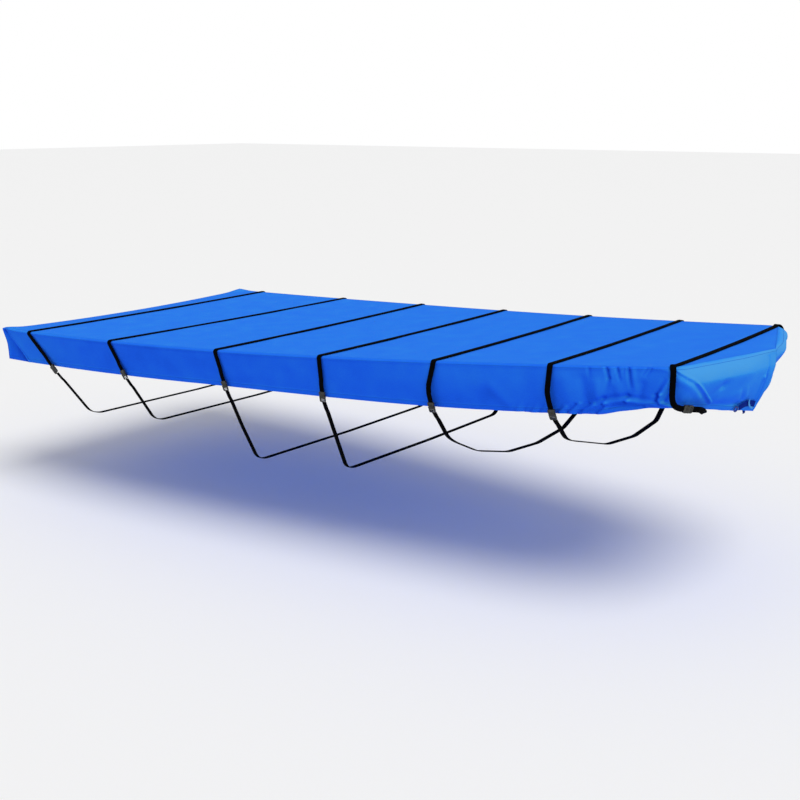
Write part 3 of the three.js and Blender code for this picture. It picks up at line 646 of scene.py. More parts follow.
@dataclass
class SideCloth:
    """The cloth that hangs down one side and round to the stem, with its hem."""

    side: Side
    creases: list[Crease]
    round_share: float = 0.25
    rows: int = 72
    rail_bulge: float = 0.012
    rail_round: float = 0.011
    bow_bulge: float = 0.044
    bow_round: float = 0.066
    port_bow_round: float = 0.042
    bow_ease: float = 0.35
    stem_bulge: float = 0.005
    depth: float = 0.178
    fore_depth: float = 0.030
    fore_range: Pair = (1.4, 3.0)
    pinch: float = 0.040
    pinch_x: float = 3.760
    pinch_reach: float = 0.170
    stem_depth: float = 0.076
    tucks: tuple[float, float, float, float] = (0.014, 0.022, 0.048, 0.078)
    waist: float = 0.014
    waist_range: Pair = (2.3, 2.9)
    ripple: float = 0.0016
    seam_ridge: float = 0.0012
    hem: float = 0.022
    hem_step: float = 0.0012
    hem_wave: float = 0.0035
    # painted shade on the rounding over the rail, and painted light on the side towards the stern
    rail_shade: float = 0.11
    stern_painted_light: float = 0.12

    @property
    def port(self) -> bool:
        """Whether the cloth hangs to port."""
        return self.side is Side.PORT

    def shape(self, u: float, x: float) -> dict[str, float]:
        """Bulge over the rail, depth and tuck of the cloth at u."""
        bow, along = smooth(1, 2, u), clamp(u - 2)
        stem = smooth(0.55, 1, along)
        bow_round = self.port_bow_round if self.port else self.bow_round
        side, corner, face, foot = self.tucks
        pinch = self.pinch * bell(x - self.pinch_x, self.pinch_reach)
        fore_depth = self.fore_depth * smooth(*self.fore_range, x)
        return {
            "bulge": mix(mix(self.rail_bulge, self.bow_bulge, bow), self.stem_bulge, stem),
            "round": mix(self.rail_round, bow_round, bow),
            "depth": self.depth + fore_depth - pinch + self.stem_depth * along,
            "tuck": mix(mix(mix(side, corner, bow), face, smooth(0, 0.4, along)), foot, stem),
            "waist": self.waist * smooth(*self.waist_range, x) * (1 - bow),
            "ease": 1 + self.bow_ease * bow,
            "rail": 1 - bow,
        }

    def spot(self, u: float, v: float, lift: float = 0.0, plain: bool = False) -> Spot:
        """A place on the cloth.

        Args:
            u: place along the top seam, as in Hull.seam.
            v: 0 at the seam, round_share once over the rail, 1 at the hem.
            lift: distance off the cloth.
            plain: leaves out the fine folds and the hem.

        Returns:
            The place, on the cloth's own side of the boat.
        """
        fallen = clamp((v - self.round_share) / (1 - self.round_share))
        aft_x = mix(HULL.seam_start, HULL.seam_foot, fallen)
        seam, out = HULL.seam(u, aft_x), HULL.outward(u, aft_x)
        shape = self.shape(u, seam.x)
        angle = clamp(v / self.round_share) * math.pi / 2
        drop = shape["round"] * (1 - math.cos(angle))
        if fallen > 0:
            drop = mix(shape["round"], shape["depth"], fallen)
        along = HULL.seam_distance(u, seam.x)
        offset = shape["bulge"] * math.sin(angle) - (shape["bulge"] + shape["tuck"]) * fallen ** shape["ease"]
        offset += shape["waist"] * math.sin(math.pi * fallen)
        above_hem = shape["depth"] - drop
        down = drop
        if not plain:
            folds = sum(crease.lift(along, drop) for crease in self.creases)
            offset += folds * smooth(0, 0.12, v) * (1 - smooth(2.97, 3.0, u))
            ripple = noise.noise(Vector((along * 9, drop * 14, 3.0 if self.port else 0.0)))
            offset += self.ripple * ripple * smooth(0.1, 0.5, v) * (1 - smooth(2.9, 3.0, u))
            offset += self.hem_step * (1 - smooth(self.hem, self.hem + 0.004, above_hem))
            offset += self.seam_ridge * bell(drop - 0.011, 0.006) * smooth(0.02, 0.1, v)
            wave = noise.noise(Vector((along * 14, 7.0, 0)))
            down += self.hem_wave * wave * smooth(2.9, 3.3, along) * fallen
        base = HULL.corner_peak(seam.x, seam.y) + HULL.rail_height(seam.x)
        offset += lift * math.sin(angle) + HULL.seam_gap
        y = min(seam.y + out.y * offset, -HULL.seam_gap / 2)
        point = Vector((seam.x + out.x * offset, y, base - down + lift * math.cos(angle)))
        from_hem = above_hem - self.hem + 0.008 if above_hem > self.hem / 2 else 1.0
        edge = min(from_hem, abs(drop - 0.004) + 0.001)
        # painted shade on the rounding over the rail along the sides, and painted light on the side cloth
        # towards the stern
        shade = self.rail_shade * shape["rail"] * bell(drop - 0.003, 0.007)
        shade -= self.stern_painted_light * (1 - smooth(0.1, 1.0, along))
        return Spot(mirrored(point) if self.port else point, (along, drop), max(0.0, edge), shade)

    def build(self, material: bpy.types.Material) -> bpy.types.Object:
        """Makes the cloth and its hem.

        Args:
            material: the cloth's finish.

        Returns:
            The finished sheet.
        """
        columns = Columns().all()
        outside = Vector((0, 1 if self.port else -1, 0))
        piece = sheet_mesh(f"side_cloth_{self.side.value}", len(columns) - 1, self.rows,
                           lambda c, r: self.spot(columns[c], 1 - r / self.rows), outside, HULL.cloth)
        dress(piece, material, "blue_cloth", f"skirt_{self.side.value}")
        return piece


@dataclass
class TopCloth:
    """The level top, cut to the rail and laid over the boat."""

    across: int = 56
    press: float = 0.0016
    press_reach: float = 0.020
    slack: float = 0.0022
    ripple: float = 0.0007
    strap_places: tuple[float, ...] = (0.220, 0.876, 1.604, 2.206, 2.788, 3.318, 3.812)

    def spot(self, x: float, edge: float, share: float) -> Spot:
        """A place on the top, share being -1 at the port edge and 1 at the starboard edge."""
        y = edge * share
        inner = 1 - abs(share)
        height = HULL.top_height(x, y, edge)
        soft = clamp(inner * abs(edge) / 0.03)
        height -= self.press * sum(bell(x - place, self.press_reach) for place in self.strap_places) * soft
        height += self.slack * noise.noise(Vector((x * 2.6, y * 3.4, 1.0))) * clamp(inner * 4)
        height += self.ripple * noise.noise(Vector((x * 11, y * 9, 5.0))) * clamp(inner * 6)
        return Spot(Vector((x, y, height)), (x, y), inner * abs(edge))

    def build(self, material: bpy.types.Material) -> bpy.types.Object:
        """Makes the top cloth.

        Args:
            material: the cloth's finish.

        Returns:
            The finished sheet.
        """
        seams = [HULL.seam(u, HULL.seam_start) for u in Columns().all()[:-1]]
        edges = [(0.0, HULL.rail_radius - HULL.half_beam(0.0)), *((seam.x, seam.y) for seam in seams)]

        def spot(column: int, row: int) -> Spot:
            """The place of one grid corner."""
            share = math.sin((row / self.across - 0.5) * math.pi) * 0.5 + (row / self.across - 0.5)
            return self.spot(*edges[column], share)

        piece = sheet_mesh("top_cloth", len(edges) - 1, self.across, spot, Vector((0, 0, 1)), HULL.cloth)
        dress(piece, material, "blue_cloth", "top_panel")
        return piece


@dataclass
class SternCloth:
    """The cloth across the stern, with a hollow triangle wrapped round each corner."""

    sides: tuple[SideCloth, SideCloth]
    round: float = 0.012
    drop: float = 0.174
    recess: float = 0.022
    corner_recess: float = 0.004
    seam_ridge: float = 0.007
    corner_flare: Triple = (-0.012, -0.003, 0.002)
    ripple: float = 0.0015
    # painted shade in the hollow triangle and a painted highlight along its seam ridge
    gusset_shade: float = 0.13
    seam_painted_highlight: float = 0.30
    gusset: int = 24
    half: int = 60
    rows: int = 44

    def rolled(self, top: Vector, foot: Vector, out: Vector, recess: float, v: float) -> Vector:
        """A place on a column that rolls over the edge (v up to 1), then hangs to its foot (v up to 2)."""
        angle, fallen = clamp(v) * math.pi / 2, clamp(v - 1)
        over = top + out * (self.round * math.sin(angle) + HULL.seam_gap)
        over.z -= self.round * (1 - math.cos(angle))
        return over.lerp(foot, fallen) - out * (recess * math.sin(math.pi * fallen))

    def corner_spot(self, side: SideCloth, w: float, v: float) -> Spot:
        """A place on the half that meets a side cloth, worked out to starboard and mirrored to port.

        Args:
            side: the side cloth that the half meets.
            w: 0 at the side seam, 1 at the corner and 2 on the centre line.
            v: 0 at the edge, 1 once over it and 2 at the foot.

        Returns:
            The place.
        """
        edge = HULL.rail_radius - HULL.half_beam(0.0)
        diagonal = Vector((-0.7, -0.7, 0))
        share = clamp(2 - w)
        footing = 0.010 * (math.cos(9 * share) - 0.6)
        footing = mix(footing, -0.002, smooth(0.9, 1.0, share))
        turn = smooth(0.93, 1.0, share)
        out = Vector((-1, 0, 0)).lerp(diagonal, turn)
        foot = Vector((footing, edge * share + 0.004 * turn, -self.drop - 0.004 * share))
        recess = mix(0.005 * math.sin(7 * share), self.corner_recess, turn)
        top = Vector((0, edge * share, HULL.top_height(0.0, edge * share)))
        here = self.rolled(top, foot, out, recess, v)
        if w < 1:
            on_side = v * side.round_share if v <= 1 else mix(side.round_share, 1.0, v - 1)
            seam = side.spot(0.0, on_side).point - Vector((2 * HULL.seam_gap, 0, 0))
            seam = mirrored(seam) if side.port else seam
            hollow = math.sin(math.pi * clamp(v - 1)) * math.sin(math.pi * w)
            here = seam.lerp(here, w) + Vector((0.3, 0.95, 0)) * (self.recess * hollow)
            ridge = bell(w, 0.10) * smooth(1.0, 1.2, v)
            here += Vector((-0.45, -0.89, 0)) * (self.seam_ridge * ridge * clamp(w / 0.05))
        flare = smooth(0.2, 1.0, v) * (1 - smooth(1.0, 1.5, v)) * bell(w - 1, 0.12)
        here += Vector(self.corner_flare) * flare
        ripple = self.ripple * noise.noise(Vector((here.y * 8, here.z * 12, 9.0)))
        here = here + Vector((ripple * smooth(1.0, 1.3, v) * clamp(w * 4), 0, 0))
        # painted shade in the hollow triangle that wraps each corner, and a painted highlight along the ridge
        # of its seam
        wrapped = (1 - smooth(0.85, 1.0, w)) * smooth(0.8, 1.1, v)
        shade = self.gusset_shade * wrapped - self.seam_painted_highlight * bell(w - 0.05, 0.045) * smooth(0.9, 1.1, v)
        point = mirrored(here) if side.port else here
        return Spot(point, (w * 0.45, here.z), max(0.0, (2 - v) * self.drop - 0.014), shade)

    def build(self, material: bpy.types.Material) -> bpy.types.Object:
        """Makes the stern cloth.

        Args:
            material: the cloth's finish.

        Returns:
            The finished sheet.
        """
        places = [i / self.gusset for i in range(self.gusset)]
        places += [1 + i / self.half for i in range(self.half + 1)]
        mirror_from = len(places) - 1

        def spot(column: int, row: int) -> Spot:
            """The place of one grid corner, mirrored past the centre line."""
            port = column > mirror_from
            own = 2 * mirror_from - column if port else column
            return self.corner_spot(self.sides[port], places[own], 2 * row / self.rows)

        piece = sheet_mesh("stern_cloth", 2 * mirror_from, self.rows, spot, Vector((-1, 0, 0)), HULL.cloth)
        dress(piece, material, "blue_cloth", "stern_panel")
        return piece


# ------------------------------------------------------------------------------------ straps
@dataclass(frozen=True)
class Station:
    """A place along a band, with the directions off it and across it."""

    point: Vector
    out: Vector
    across: Vector
    run: float


def rounded(points: list[Vector], radius: float, step: float) -> list[Vector]:
    """Rounds the corners of a line of points and divides it into short steps.

    Args:
        points: the line's corners.
        radius: how far from a corner the rounding starts, where the sides are long enough.
        step: the longest step.

    Returns:
        The points of the rounded line.
    """
    line = [points[0].copy()]
    for before, here, after in zip(points, points[1:], points[2:]):
        start = here.lerp(before, min(0.45, radius / (before - here).length))
        end = here.lerp(after, min(0.45, radius / (after - here).length))
        line += [start.lerp(here, t).lerp(here.lerp(end, t), t) for t in (0.0, 0.2, 0.4, 0.6, 0.8, 1.0)]
    line.append(points[-1].copy())
    dense = [line[0]]
    for here, after in zip(line, line[1:]):
        count = max(1, math.ceil((after - here).length / step))
        dense += [here.lerp(after, (i + 1) / count) for i in range(count)]
    return dense


def stations(points: list[Vector], across_at: Callable[[Vector], Vector]) -> list[Station]:
    """Adds the directions off and across a band to the points of its line."""
    found, run = [], 0.0
    for i, point in enumerate(points):
        before, after = points[max(0, i - 1)], points[min(len(points) - 1, i + 1)]
        along = (after - before).normalized()
        across = across_at(point)
        across = (across - along * across.dot(along)).normalized()
        run += (point - before).length
        found.append(Station(point, across.cross(along).normalized(), across, run))
    return found


def band(name: str, line: list[Station], width: float, thickness: float,
         sewn: float = 0.0) -> bpy.types.Object:
    """Makes a flat band of webbing along a line of stations.

    Args:
        name: the piece's name.
        line: the stations, whose points are under the band.
        width: the band's width.
        thickness: the band's thickness.
        sewn: length at each end where the webbing is folded back and sewn double.

    Returns:
        The finished band.
    """
    segments = 8

    def spot(column: int, row: int) -> Spot:
        """The place of one grid corner, thinner at the selvedges."""
        station, share = line[column], row / segments - 0.5
        from_end = min(station.run, line[-1].run - station.run)
        double = thickness * 0.8 * (1 - smooth(sewn, sewn + 0.006, from_end))
        rise = thickness * (1 - 0.35 * (2 * share) ** 6) + (double if sewn else 0.0)
        point = station.point + station.across * (share * width) + station.out * rise
        return Spot(point, (station.run, share * width))

    piece = sheet_mesh(name, len(line) - 1, segments, spot, None, thickness)
    middle = line[len(line) // 2]
    face = min(piece.data.polygons, key=lambda f: (f.center - HULL.place(middle.point)).length)
    if face.normal.dot(middle.out) < 0:
        piece.data.flip_normals()
    return piece


@dataclass(frozen=True)
class StrapRoute:
    """One strap: where it crosses each rail, its way down and the buckle's place on it."""

    number: int
    x: float
    port_x: float
    buckle: int
    down: tuple[Triple, ...]
    port: tuple[Triple, ...] = ()


TWISTED_STRAP = 7
STRAP_ROUTES = [
    StrapRoute(1, 0.220, 0.220, 0, ((0.400, -0.910, -0.190), (0.520, -0.790, -0.428), (0.540, -0.745, -0.444),
                             (0.542, 0, -0.450))),
    StrapRoute(2, 0.876, 0.946, 0, ((0.959, -0.893, -0.149), (1.028, -0.776, -0.390), (1.040, -0.735, -0.406),
                             (1.042, 0, -0.412))),
    StrapRoute(3, 1.604, 1.588, 0, ((1.644, -0.846, -0.122), (1.676, -0.775, -0.328), (1.710, -0.712, -0.498),
                             (1.716, -0.672, -0.514), (1.716, 0, -0.520))),
    StrapRoute(4, 2.206, 2.206, 0, ((2.212, -0.784, -0.106), (2.232, -0.716, -0.310), (2.246, -0.664, -0.460),
                             (2.248, -0.626, -0.475), (2.248, 0, -0.480))),
    StrapRoute(5, 2.788, 2.776, 1, ((2.774, -0.743, 0.010), (2.780, -0.717, -0.082), (2.790, -0.610, -0.236),
                             (2.806, -0.580, -0.262), (2.862, -0.480, -0.318), (2.892, -0.260, -0.368),
                             (2.898, 0, -0.384))),
    StrapRoute(6, 3.318, 3.318, 1, ((3.320, -0.672, 0.050), (3.334, -0.641, -0.044), (3.330, -0.520, -0.170),
                             (3.340, -0.490, -0.186), (3.392, -0.250, -0.248), (3.400, 0, -0.266))),
    StrapRoute(TWISTED_STRAP, 3.820, 3.830, 4,
               ((3.825, -0.588, 0.096), (3.829, -0.586, 0.072), (3.834, -0.578, 0.056),
                (3.845, -0.554, 0.044), (3.862, -0.514, 0.037), (3.887, -0.453, 0.026),
                (3.887, -0.410, 0.008), (3.872, -0.374, -0.008), (3.844, -0.338, -0.012),
                (3.808, -0.270, 0.002), (3.800, 0, 0.016)),
               ((3.817, 0.588, 0.092), (3.818, 0.580, 0.060), (3.816, 0.552, 0.034), (3.808, 0.500, 0.022),
                (3.802, 0.300, 0.016))),
]


@dataclass
class Strap:
    """A webbing loop over the cover and under the hull, closed by a side-release buckle."""

    route: StrapRoute
    side: SideCloth
    width: float = 0.025
    thickness: float = 0.0032
    clearance: float = 0.0030
    corner_shift: float = 0.012
    bend: float = 0.026
    step: float = 0.020
    sewn: float = 0.040
    socket: float = 0.029
    plug: float = 0.021

    def half_over(self, port: bool) -> list[Vector]:
        """Points on the cloth, from the middle of the top to where the strap leaves one rail."""
        x = self.route.port_x if port else self.route.x
        middle, edge = (self.route.x + self.route.port_x) / 2, HULL.edge_y(x)
        places = [(mix(middle, x, share), edge * share) for share in (0, 0.25, 0.5, 0.75, 0.9, 0.985)]
        on_top = [Vector((at, y, HULL.top_height(at, y, edge) + self.clearance)) for at, y in places]
        on_corner = x > HULL.corner_start
        u = HULL.u_at(x - self.corner_shift if on_corner else x)
        lift = 3 * self.clearance if on_corner else 1.2 * self.clearance
        bend = [self.side.spot(u, v, lift, plain=True).point for v in (0.04, 0.11, 0.18, 0.25)]
        return [mirrored(point) if port else point for point in on_top + bend]

    def across(self, point: Vector) -> Vector:
        """Across the webbing: fore and aft, but upright where strap 7 turns round the bow corner."""
        level = Vector((1, 0, 0))
        if self.route.number != TWISTED_STRAP or point.z > 0.12 or point.y > 0:
            return level
        turned = smooth(0.090, 0.042, point.z) * smooth(-0.335, -0.445, point.y)
        return level.lerp(Vector((0.2, 0, 1)), turned)

    def loop(self) -> tuple[list[Vector], Vector, Vector]:
        """The whole centre line, cut open at the buckle.

        Returns:
            The points from above the socket to below the plug, the buckle's place and the way up from it.
        """
        over = self.half_over(port=False)
        down = [Vector(place) for place in self.route.down]
        port = [Vector(place) for place in self.route.port] or [mirrored(p) for p in down[:-1]]
        starboard = over[1:] + down[:-1]
        line = starboard[::-1] + self.half_over(port=True) + port + [down[-1]]
        start = line.index(down[self.route.buckle])
        line = line[start:] + line[:start + 1]
        centre = line[0].copy()
        up, under = (line[1] - centre).normalized(), (line[-2] - centre).normalized()
        line[0] = centre + up * (self.socket + 0.0005)
        line[-1] = centre + under * (self.plug + 0.0005)
        return line, centre, up

    def build(self, webbing: bpy.types.Material, plastic: bpy.types.Material) -> None:
        """Makes the strap and its buckle.

        Args:
            webbing: the strap's finish.
            plastic: the buckle's finish.
        """
        number = self.route.number
        line, centre, up = self.loop()
        points = rounded(line, self.bend, self.step)
        path = stations(points, self.across)
        piece = band(f"webbing_{number}", path, self.width, self.thickness, self.sewn)
        dress(piece, webbing, "black_webbing", f"strap_{number}")
        Buckle(number, centre, up, path[0].out).build(plastic)


# ------------------------------------------------------------------------------------ buckles
@dataclass
class Buckle:
    """A side-release buckle: a socket with a window at each side and a plug with two prongs."""

    number: int
    centre: Vector
    up: Vector
    out: Vector
    width: float = 0.034
    thickness: float = 0.009
    socket: float = 0.029
    plug: float = 0.021

    @staticmethod
    def bevel(bm: bmesh.types.BMesh, edges: list[bmesh.types.BMEdge], offset: float) -> None:
        """Rounds the given edges off in two steps."""
        bmesh.ops.bevel(bm, geom=edges, offset=offset, offset_type="OFFSET", affect="EDGES", segments=2,
                        profile=0.5, material=-1, clamp_overlap=True)

    @staticmethod
    def raised(bm: bmesh.types.BMesh, faces: list[bmesh.types.BMFace],
               height: float) -> list[bmesh.types.BMFace]:
        """Raises a region of faces by height and returns its raised faces."""
        made = bmesh.ops.extrude_face_region(bm, geom=faces)["geom"]
        corners = [g for g in made if isinstance(g, bmesh.types.BMVert)]
        bmesh.ops.translate(bm, vec=(0, 0, height), verts=corners)
        return [g for g in made if isinstance(g, bmesh.types.BMFace)]

    def turned(self, bm: bmesh.types.BMesh) -> None:
        """Moves a finished buckle half from its own axes onto the strap."""
        across = self.up.cross(self.out).normalized()
        off = across.cross(self.up)
        turn = Matrix((across, self.up, off)).transposed().to_4x4()
        turn.translation = HULL.place(self.centre)
        bm.normal_update()
        bmesh.ops.transform(bm, matrix=turn, verts=bm.verts[:])
        bmesh.ops.recalc_face_normals(bm, faces=bm.faces[:])

    def slab(self, bm: bmesh.types.BMesh, outline: list[Pair], low: float, high: float) -> bmesh.types.BMFace:
        """Raises a flat outline into a slab and returns its upper face."""
        base = bm.faces.new([bm.verts.new((x, y, low)) for x, y in outline])
        return self.raised(bm, [base], high - low)[0]

    def socket_mesh(self) -> bmesh.types.BMesh:
        """The socket: a bevelled shell with side windows, a sunk face and a bar for the webbing."""
        half, top = self.width / 2, self.socket
        right = [(half - 0.002, 0.0004), (half, 0.003), (half, 0.005), (half - 0.0045, 0.006),
                 (half - 0.0045, 0.016), (half, 0.018), (half - 0.0015, top - 0.002), (half - 0.004, top)]
        bm = bmesh.new()
        face = self.slab(bm, [*right, *((-x, y) for x, y in reversed(right))], 0.0, self.thickness)
        bmesh.ops.inset_region(bm, faces=[face], thickness=0.0030, depth=0.0)
        bmesh.ops.inset_region(bm, faces=[face], thickness=0.0008, depth=-0.0010)
        rim = [e for e in bm.edges if e.calc_face_angle(0.0) > 0.6 and e.calc_length() > 0.0012]
        self.bevel(bm, rim, 0.0007)
        for y in (0.0095, 0.0125, 0.0155):
            self.block(bm, (0, y, self.thickness - 0.0008), (0.013, 0.0012, 0.0011))
        return bm

    def block(self, bm: bmesh.types.BMesh, centre: Triple, size: Triple) -> None:
        """Adds a small bevelled block."""
        made = bmesh.ops.create_cube(bm, size=1.0)["verts"]
        bmesh.ops.scale(bm, vec=size, verts=made)
        bmesh.ops.translate(bm, vec=centre, verts=made)
        edges = list({edge for vert in made for edge in vert.link_edges})
        self.bevel(bm, edges, min(size) * 0.25)

    def plug_mesh(self) -> bmesh.types.BMesh:
        """The plug: a plate with two slots for the webbing, and the prongs that show in the windows."""
        half, foot = self.width / 2, -self.plug
        bm = bmesh.new()
        bmesh.ops.create_grid(bm, x_segments=3, y_segments=5, size=0.5)
        xs = (-half, -0.012, 0.012, half)
        ys = (foot, foot + 0.004, foot + 0.0074, foot + 0.011, foot + 0.0144, 0.0)
        for vert in bm.verts:
            column, row = round((vert.co.x + 0.5) * 3), round((vert.co.y + 0.5) * 5)
            narrow = 0.003 if row == 0 else 0.001 if row == 1 else 0.0
            vert.co = (xs[column] - math.copysign(narrow, xs[column]), ys[row], 0.0015)
        middles = [f for f in bm.faces if abs(f.calc_center_median().x) < 0.001]
        slots = sorted(middles, key=lambda f: f.calc_center_median().y)
        bmesh.ops.delete(bm, geom=[slots[1], slots[3]], context="FACES_ONLY")
        self.raised(bm, bm.faces[:], self.thickness - 0.003)
        rim = [e for e in bm.edges if len(e.link_faces) == 2 and e.calc_face_angle(0.0) > 0.6]
        self.bevel(bm, rim, 0.0006)
        for side in (-1, 1):
            self.block(bm, (side * (half - 0.0022), 0.011, 0.0045), (0.0052, 0.0094, 0.0050))
            self.block(bm, (side * (half - 0.0070), 0.001, 0.0045), (0.0050, 0.0080, 0.0040))
        return bm

    def build(self, plastic: bpy.types.Material) -> None:
        """Makes both halves of the buckle in the given finish."""
        for half, bm in (("socket", self.socket_mesh()), ("plug", self.plug_mesh())):
            self.turned(bm)
            piece = finish_mesh(f"{half}_{self.number}", bm)
            dress(piece, plastic, "black_plastic", f"buckle_{half}_{self.number}")


# ------------------------------------------------------------------------------------ bow tab
@dataclass
class BowTab:
    """The navy tab at the foot of the stem, with its eyelet, its pale keeper and its loose end."""

    side: SideCloth
    width: float = 0.025
    lift: float = 0.0085
    keeper_width: float = 0.010
    keeper_lift: float = 0.0130
    ring_place: Pair = (2.66, 0.955)
    end_u: float = 2.90
    end_length: float = 0.034
    end_steps: int = 16
    tab: tuple[Pair, ...] = ((0.687, 0.932), (0.72, 0.90), (0.75, 0.873), (0.78, 0.855), (0.82, 0.852),
                             (0.86, 0.856), (0.90, 0.860), (0.925, 0.862))
    keeper: tuple[Pair, ...] = ((0.765, 0.775), (0.785, 0.82), (0.815, 0.868), (0.86, 0.905), (0.925, 0.93))

    def on_cloth(self, u: float, v: float) -> tuple[Vector, Vector]:
        """A place on the smooth cloth and the direction off it, taken over a wide patch."""
        point = self.side.spot(u, v, plain=True).point
        along = self.side.spot(u + 0.02, v, plain=True).point - self.side.spot(u - 0.02, v, plain=True).point
        down = self.side.spot(u, v, plain=True).point - self.side.spot(u, v - 0.05, plain=True).point
        out = down.cross(along)
        return point, Vector((out.x, out.y, out.z * 0.3)).normalized()

    def on_bow(self, places: list[Pair], lift: float) -> list[Station]:
        """Stations that lie on the bow face, through shares of the bow edge and of the drop."""
        points, outs = [], []
        for u, v in places:
            point, out = self.on_cloth(2 + u, v)
            outs.append(out)
            points.append(point + out * lift)
        found, run = [], 0.0
        for i, (point, out) in enumerate(zip(points, outs)):
            before, after = points[max(0, i - 1)], points[min(len(points) - 1, i + 1)]
            run += (point - before).length
            found.append(Station(point, out, out.cross(after - before).normalized(), run))
        return found

    @staticmethod
    def between(places: tuple[Pair, ...], count: int) -> list[Pair]:
        """Divides a line of places evenly between its first, middle and last."""
        spread = []
        for i in range(count + 1):
            share = i / count * (len(places) - 1)
            low = min(int(share), len(places) - 2)
            spread.append(tuple(mix(a, b, share - low) for a, b in zip(places[low], places[low + 1])))
        return spread

    def ring(self) -> bmesh.types.BMesh:
        """The eyelet: a rolled ring set square to the bow face."""
        u, v = self.ring_place
        centre, out = self.on_cloth(u, v)
        bm = bmesh.new()
        profile = [(0.0064, 0.0), (0.0128, 0.0), (0.0142, 0.0010), (0.0136, 0.0024), (0.0108, 0.0030),
                   (0.0080, 0.0026), (0.0064, 0.0014)]
        verts = [bm.verts.new((radius, 0, height)) for radius, height in profile]
        edges = [bm.edges.new((a, b)) for a, b in zip(verts, verts[1:] + verts[:1])]
        bmesh.ops.spin(bm, geom=verts + edges, cent=(0, 0, 0), axis=(0, 0, 1), angle=math.tau, steps=40,
                       use_merge=True)
        bmesh.ops.remove_doubles(bm, verts=bm.verts[:], dist=1e-6)
        turn = Vector((0, 0, 1)).rotation_difference(out).to_matrix().to_4x4()
        turn.translation = HULL.place(centre + out * self.lift)
        bmesh.ops.transform(bm, matrix=turn, verts=bm.verts[:])
        bmesh.ops.recalc_face_normals(bm, faces=bm.faces[:])
        for face in bm.faces:
            face.smooth = True
        return bm

    def loose_end(self) -> list[Station]:
        """Stations down the short end that hangs under the hem."""
        foot = self.side.spot(self.end_u, 1.0, plain=True).point + Vector((-0.012, 0.006, 0))
        found = []
        for i in range(self.end_steps + 1):
            share = i / self.end_steps
            point = foot + Vector((0.0012 * math.sin(9 * share), 0, mix(0.020, -0.014, share)))
            found.append(Station(point, Vector((1, 0, 0)), Vector((0, 1, 0)), self.end_length * share))
        return found

    def build(self, navy: bpy.types.Material, pale: bpy.types.Material, metal: bpy.types.Material) -> None:
        """Makes the tab, keeper, ring and end.

        Args:
            navy: the tab's webbing.
            pale: the keeper's cloth.
            metal: the ring's enamel.
        """
        lie = self.on_bow(self.between(self.tab, 30), self.lift)
        dress(band("tab_webbing", lie, self.width, 0.002, sewn=0.012), navy, "navy_webbing", "bow_tab")
        lie = self.on_bow(self.between(self.keeper, 24), self.keeper_lift)
        dress(band("keeper_loop", lie, self.keeper_width, 0.0015), pale, "pale_cloth", "bow_keeper")
        dress(finish_mesh("eyelet", self.ring()), metal, "navy_metal", "bow_ring")
        end = band("tab_end_webbing", self.loose_end(), self.width, 0.002)
        dress(end, navy, "navy_webbing", "bow_tab_end")


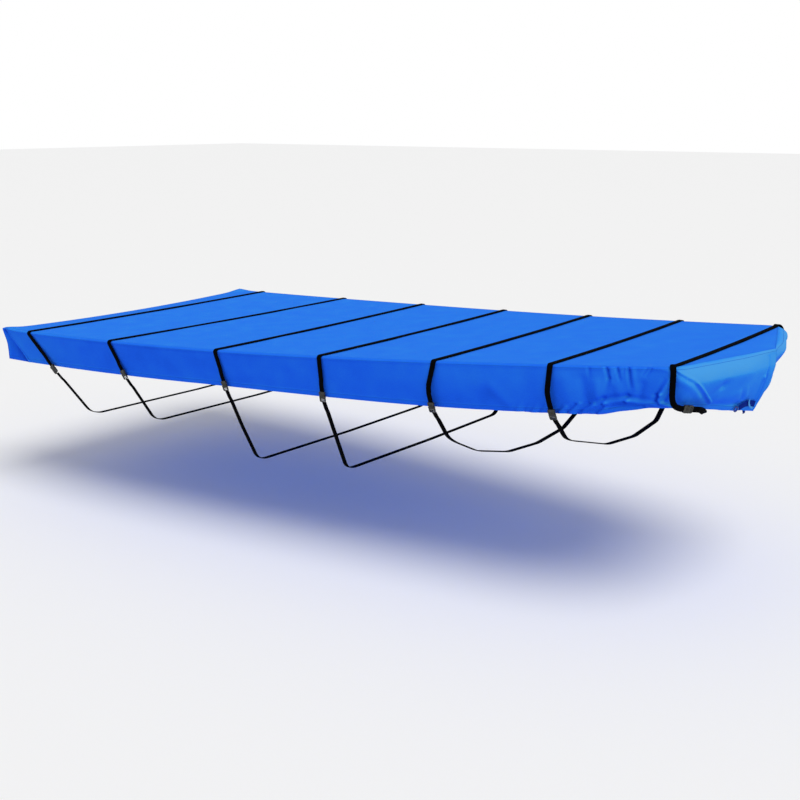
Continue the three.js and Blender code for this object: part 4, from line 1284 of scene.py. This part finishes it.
# ------------------------------------------------------------------------------------ studio
@dataclass
class Studio:
    """Camera, one soft sun, a white sky and a plain pale floor."""

    camera_at: Triple = (3.6507, -4.6920, 1.0853)
    pitch: float = 0.24165
    yaw: float = 0.64364
    lens: float = 51.86
    ground: float = -0.93
    sun_strength: float = 1.7
    sun_from: Triple = (0.45, -0.10, 0.88)
    sun_degrees: float = 40.0
    sky_strength: float = 0.45
    floor_size: float = 60.0
    floor_colour: Triple = (0.97, 0.97, 0.97)

    def sun(self) -> None:
        """Adds one broad soft sun, forward of the bow, to starboard and high."""
        lamp = bpy.data.lights.new("soft_sun", "SUN")
        lamp.energy = self.sun_strength
        lamp.angle = math.radians(self.sun_degrees)
        holder = placed("soft_sun", lamp)
        holder.rotation_euler = Vector(self.sun_from).to_track_quat("Z", "Y").to_euler()

    def sky(self) -> None:
        """Sets a white sky that lights the cover more weakly than it shows behind it."""
        world = bpy.data.worlds.new("sky")
        world.use_nodes = True
        tree = world.node_tree
        seen = tree.nodes.new("ShaderNodeLightPath").outputs["Is Camera Ray"]
        strength = tree.nodes.new("ShaderNodeMapRange")
        strength.inputs["To Min"].default_value = self.sky_strength
        strength.inputs["To Max"].default_value = 1.0
        tree.links.new(seen, strength.inputs["Value"])
        tree.nodes["Background"].inputs["Color"].default_value = (1.0, 1.0, 1.0, 1.0)
        tree.links.new(strength.outputs["Result"], tree.nodes["Background"].inputs["Strength"])
        bpy.context.scene.world = world

    def camera(self) -> None:
        """Stands the camera off the starboard bow."""
        data = bpy.data.cameras.new("camera")
        data.lens = self.lens
        data.sensor_width = 36.0
        holder = placed("camera", data)
        holder.location = self.camera_at
        holder.rotation_euler = (math.pi / 2 - self.pitch, 0, self.yaw)
        bpy.context.scene.camera = holder

    def floor(self) -> None:
        """Lays a wide pale floor where the trailer's wheels would stand."""
        bm = bmesh.new()
        bmesh.ops.create_grid(bm, x_segments=1, y_segments=1, size=self.floor_size)
        bmesh.ops.translate(bm, vec=(0, 0, self.ground), verts=bm.verts[:])
        piece = placed("floor", to_mesh("floor", bm))
        n = Nodes("pale_floor")
        n.set(Base_Color=(*self.floor_colour, 1.0), Roughness=0.9, Specular_IOR_Level=0.1)
        piece.data.materials.append(n.material)

    def build(self) -> None:
        """Sets the camera, floor, sky and sun."""
        self.camera()
        self.floor()
        self.sky()
        self.sun()
        bpy.context.scene.view_settings.view_transform = "Standard"


def main() -> None:
    """Builds the studio, then the cover piece by piece."""
    logging.basicConfig(level=logging.INFO, format="%(message)s")
    Studio().build()
    cloth = CoverCloth().material()
    webbing = WovenWebbing("webbing_black", (0.0008, 0.0008, 0.0012), (0.0060, 0.0060, 0.0075)).material()
    navy = WovenWebbing("webbing_navy", (0.003, 0.012, 0.19), (0.012, 0.05, 0.42)).material()
    pale = WovenWebbing("tape_light_blue", (0.06, 0.30, 0.80), (0.16, 0.50, 0.95), rib=0.0009).material()
    plastic = MouldedPlastic().material()
    metal = PaintedMetal().material()
    starboard = SideCloth(Side.STARBOARD, STARBOARD_CREASES)
    port = SideCloth(Side.PORT, PORT_CREASES)
    TopCloth().build(cloth)
    starboard.build(cloth)
    port.build(cloth)
    SternCloth((starboard, port)).build(cloth)
    for route in STRAP_ROUTES:
        Strap(route, starboard).build(webbing, plastic)
    BowTab(starboard).build(navy, pale, metal)


if __name__ == "__main__":
    main()
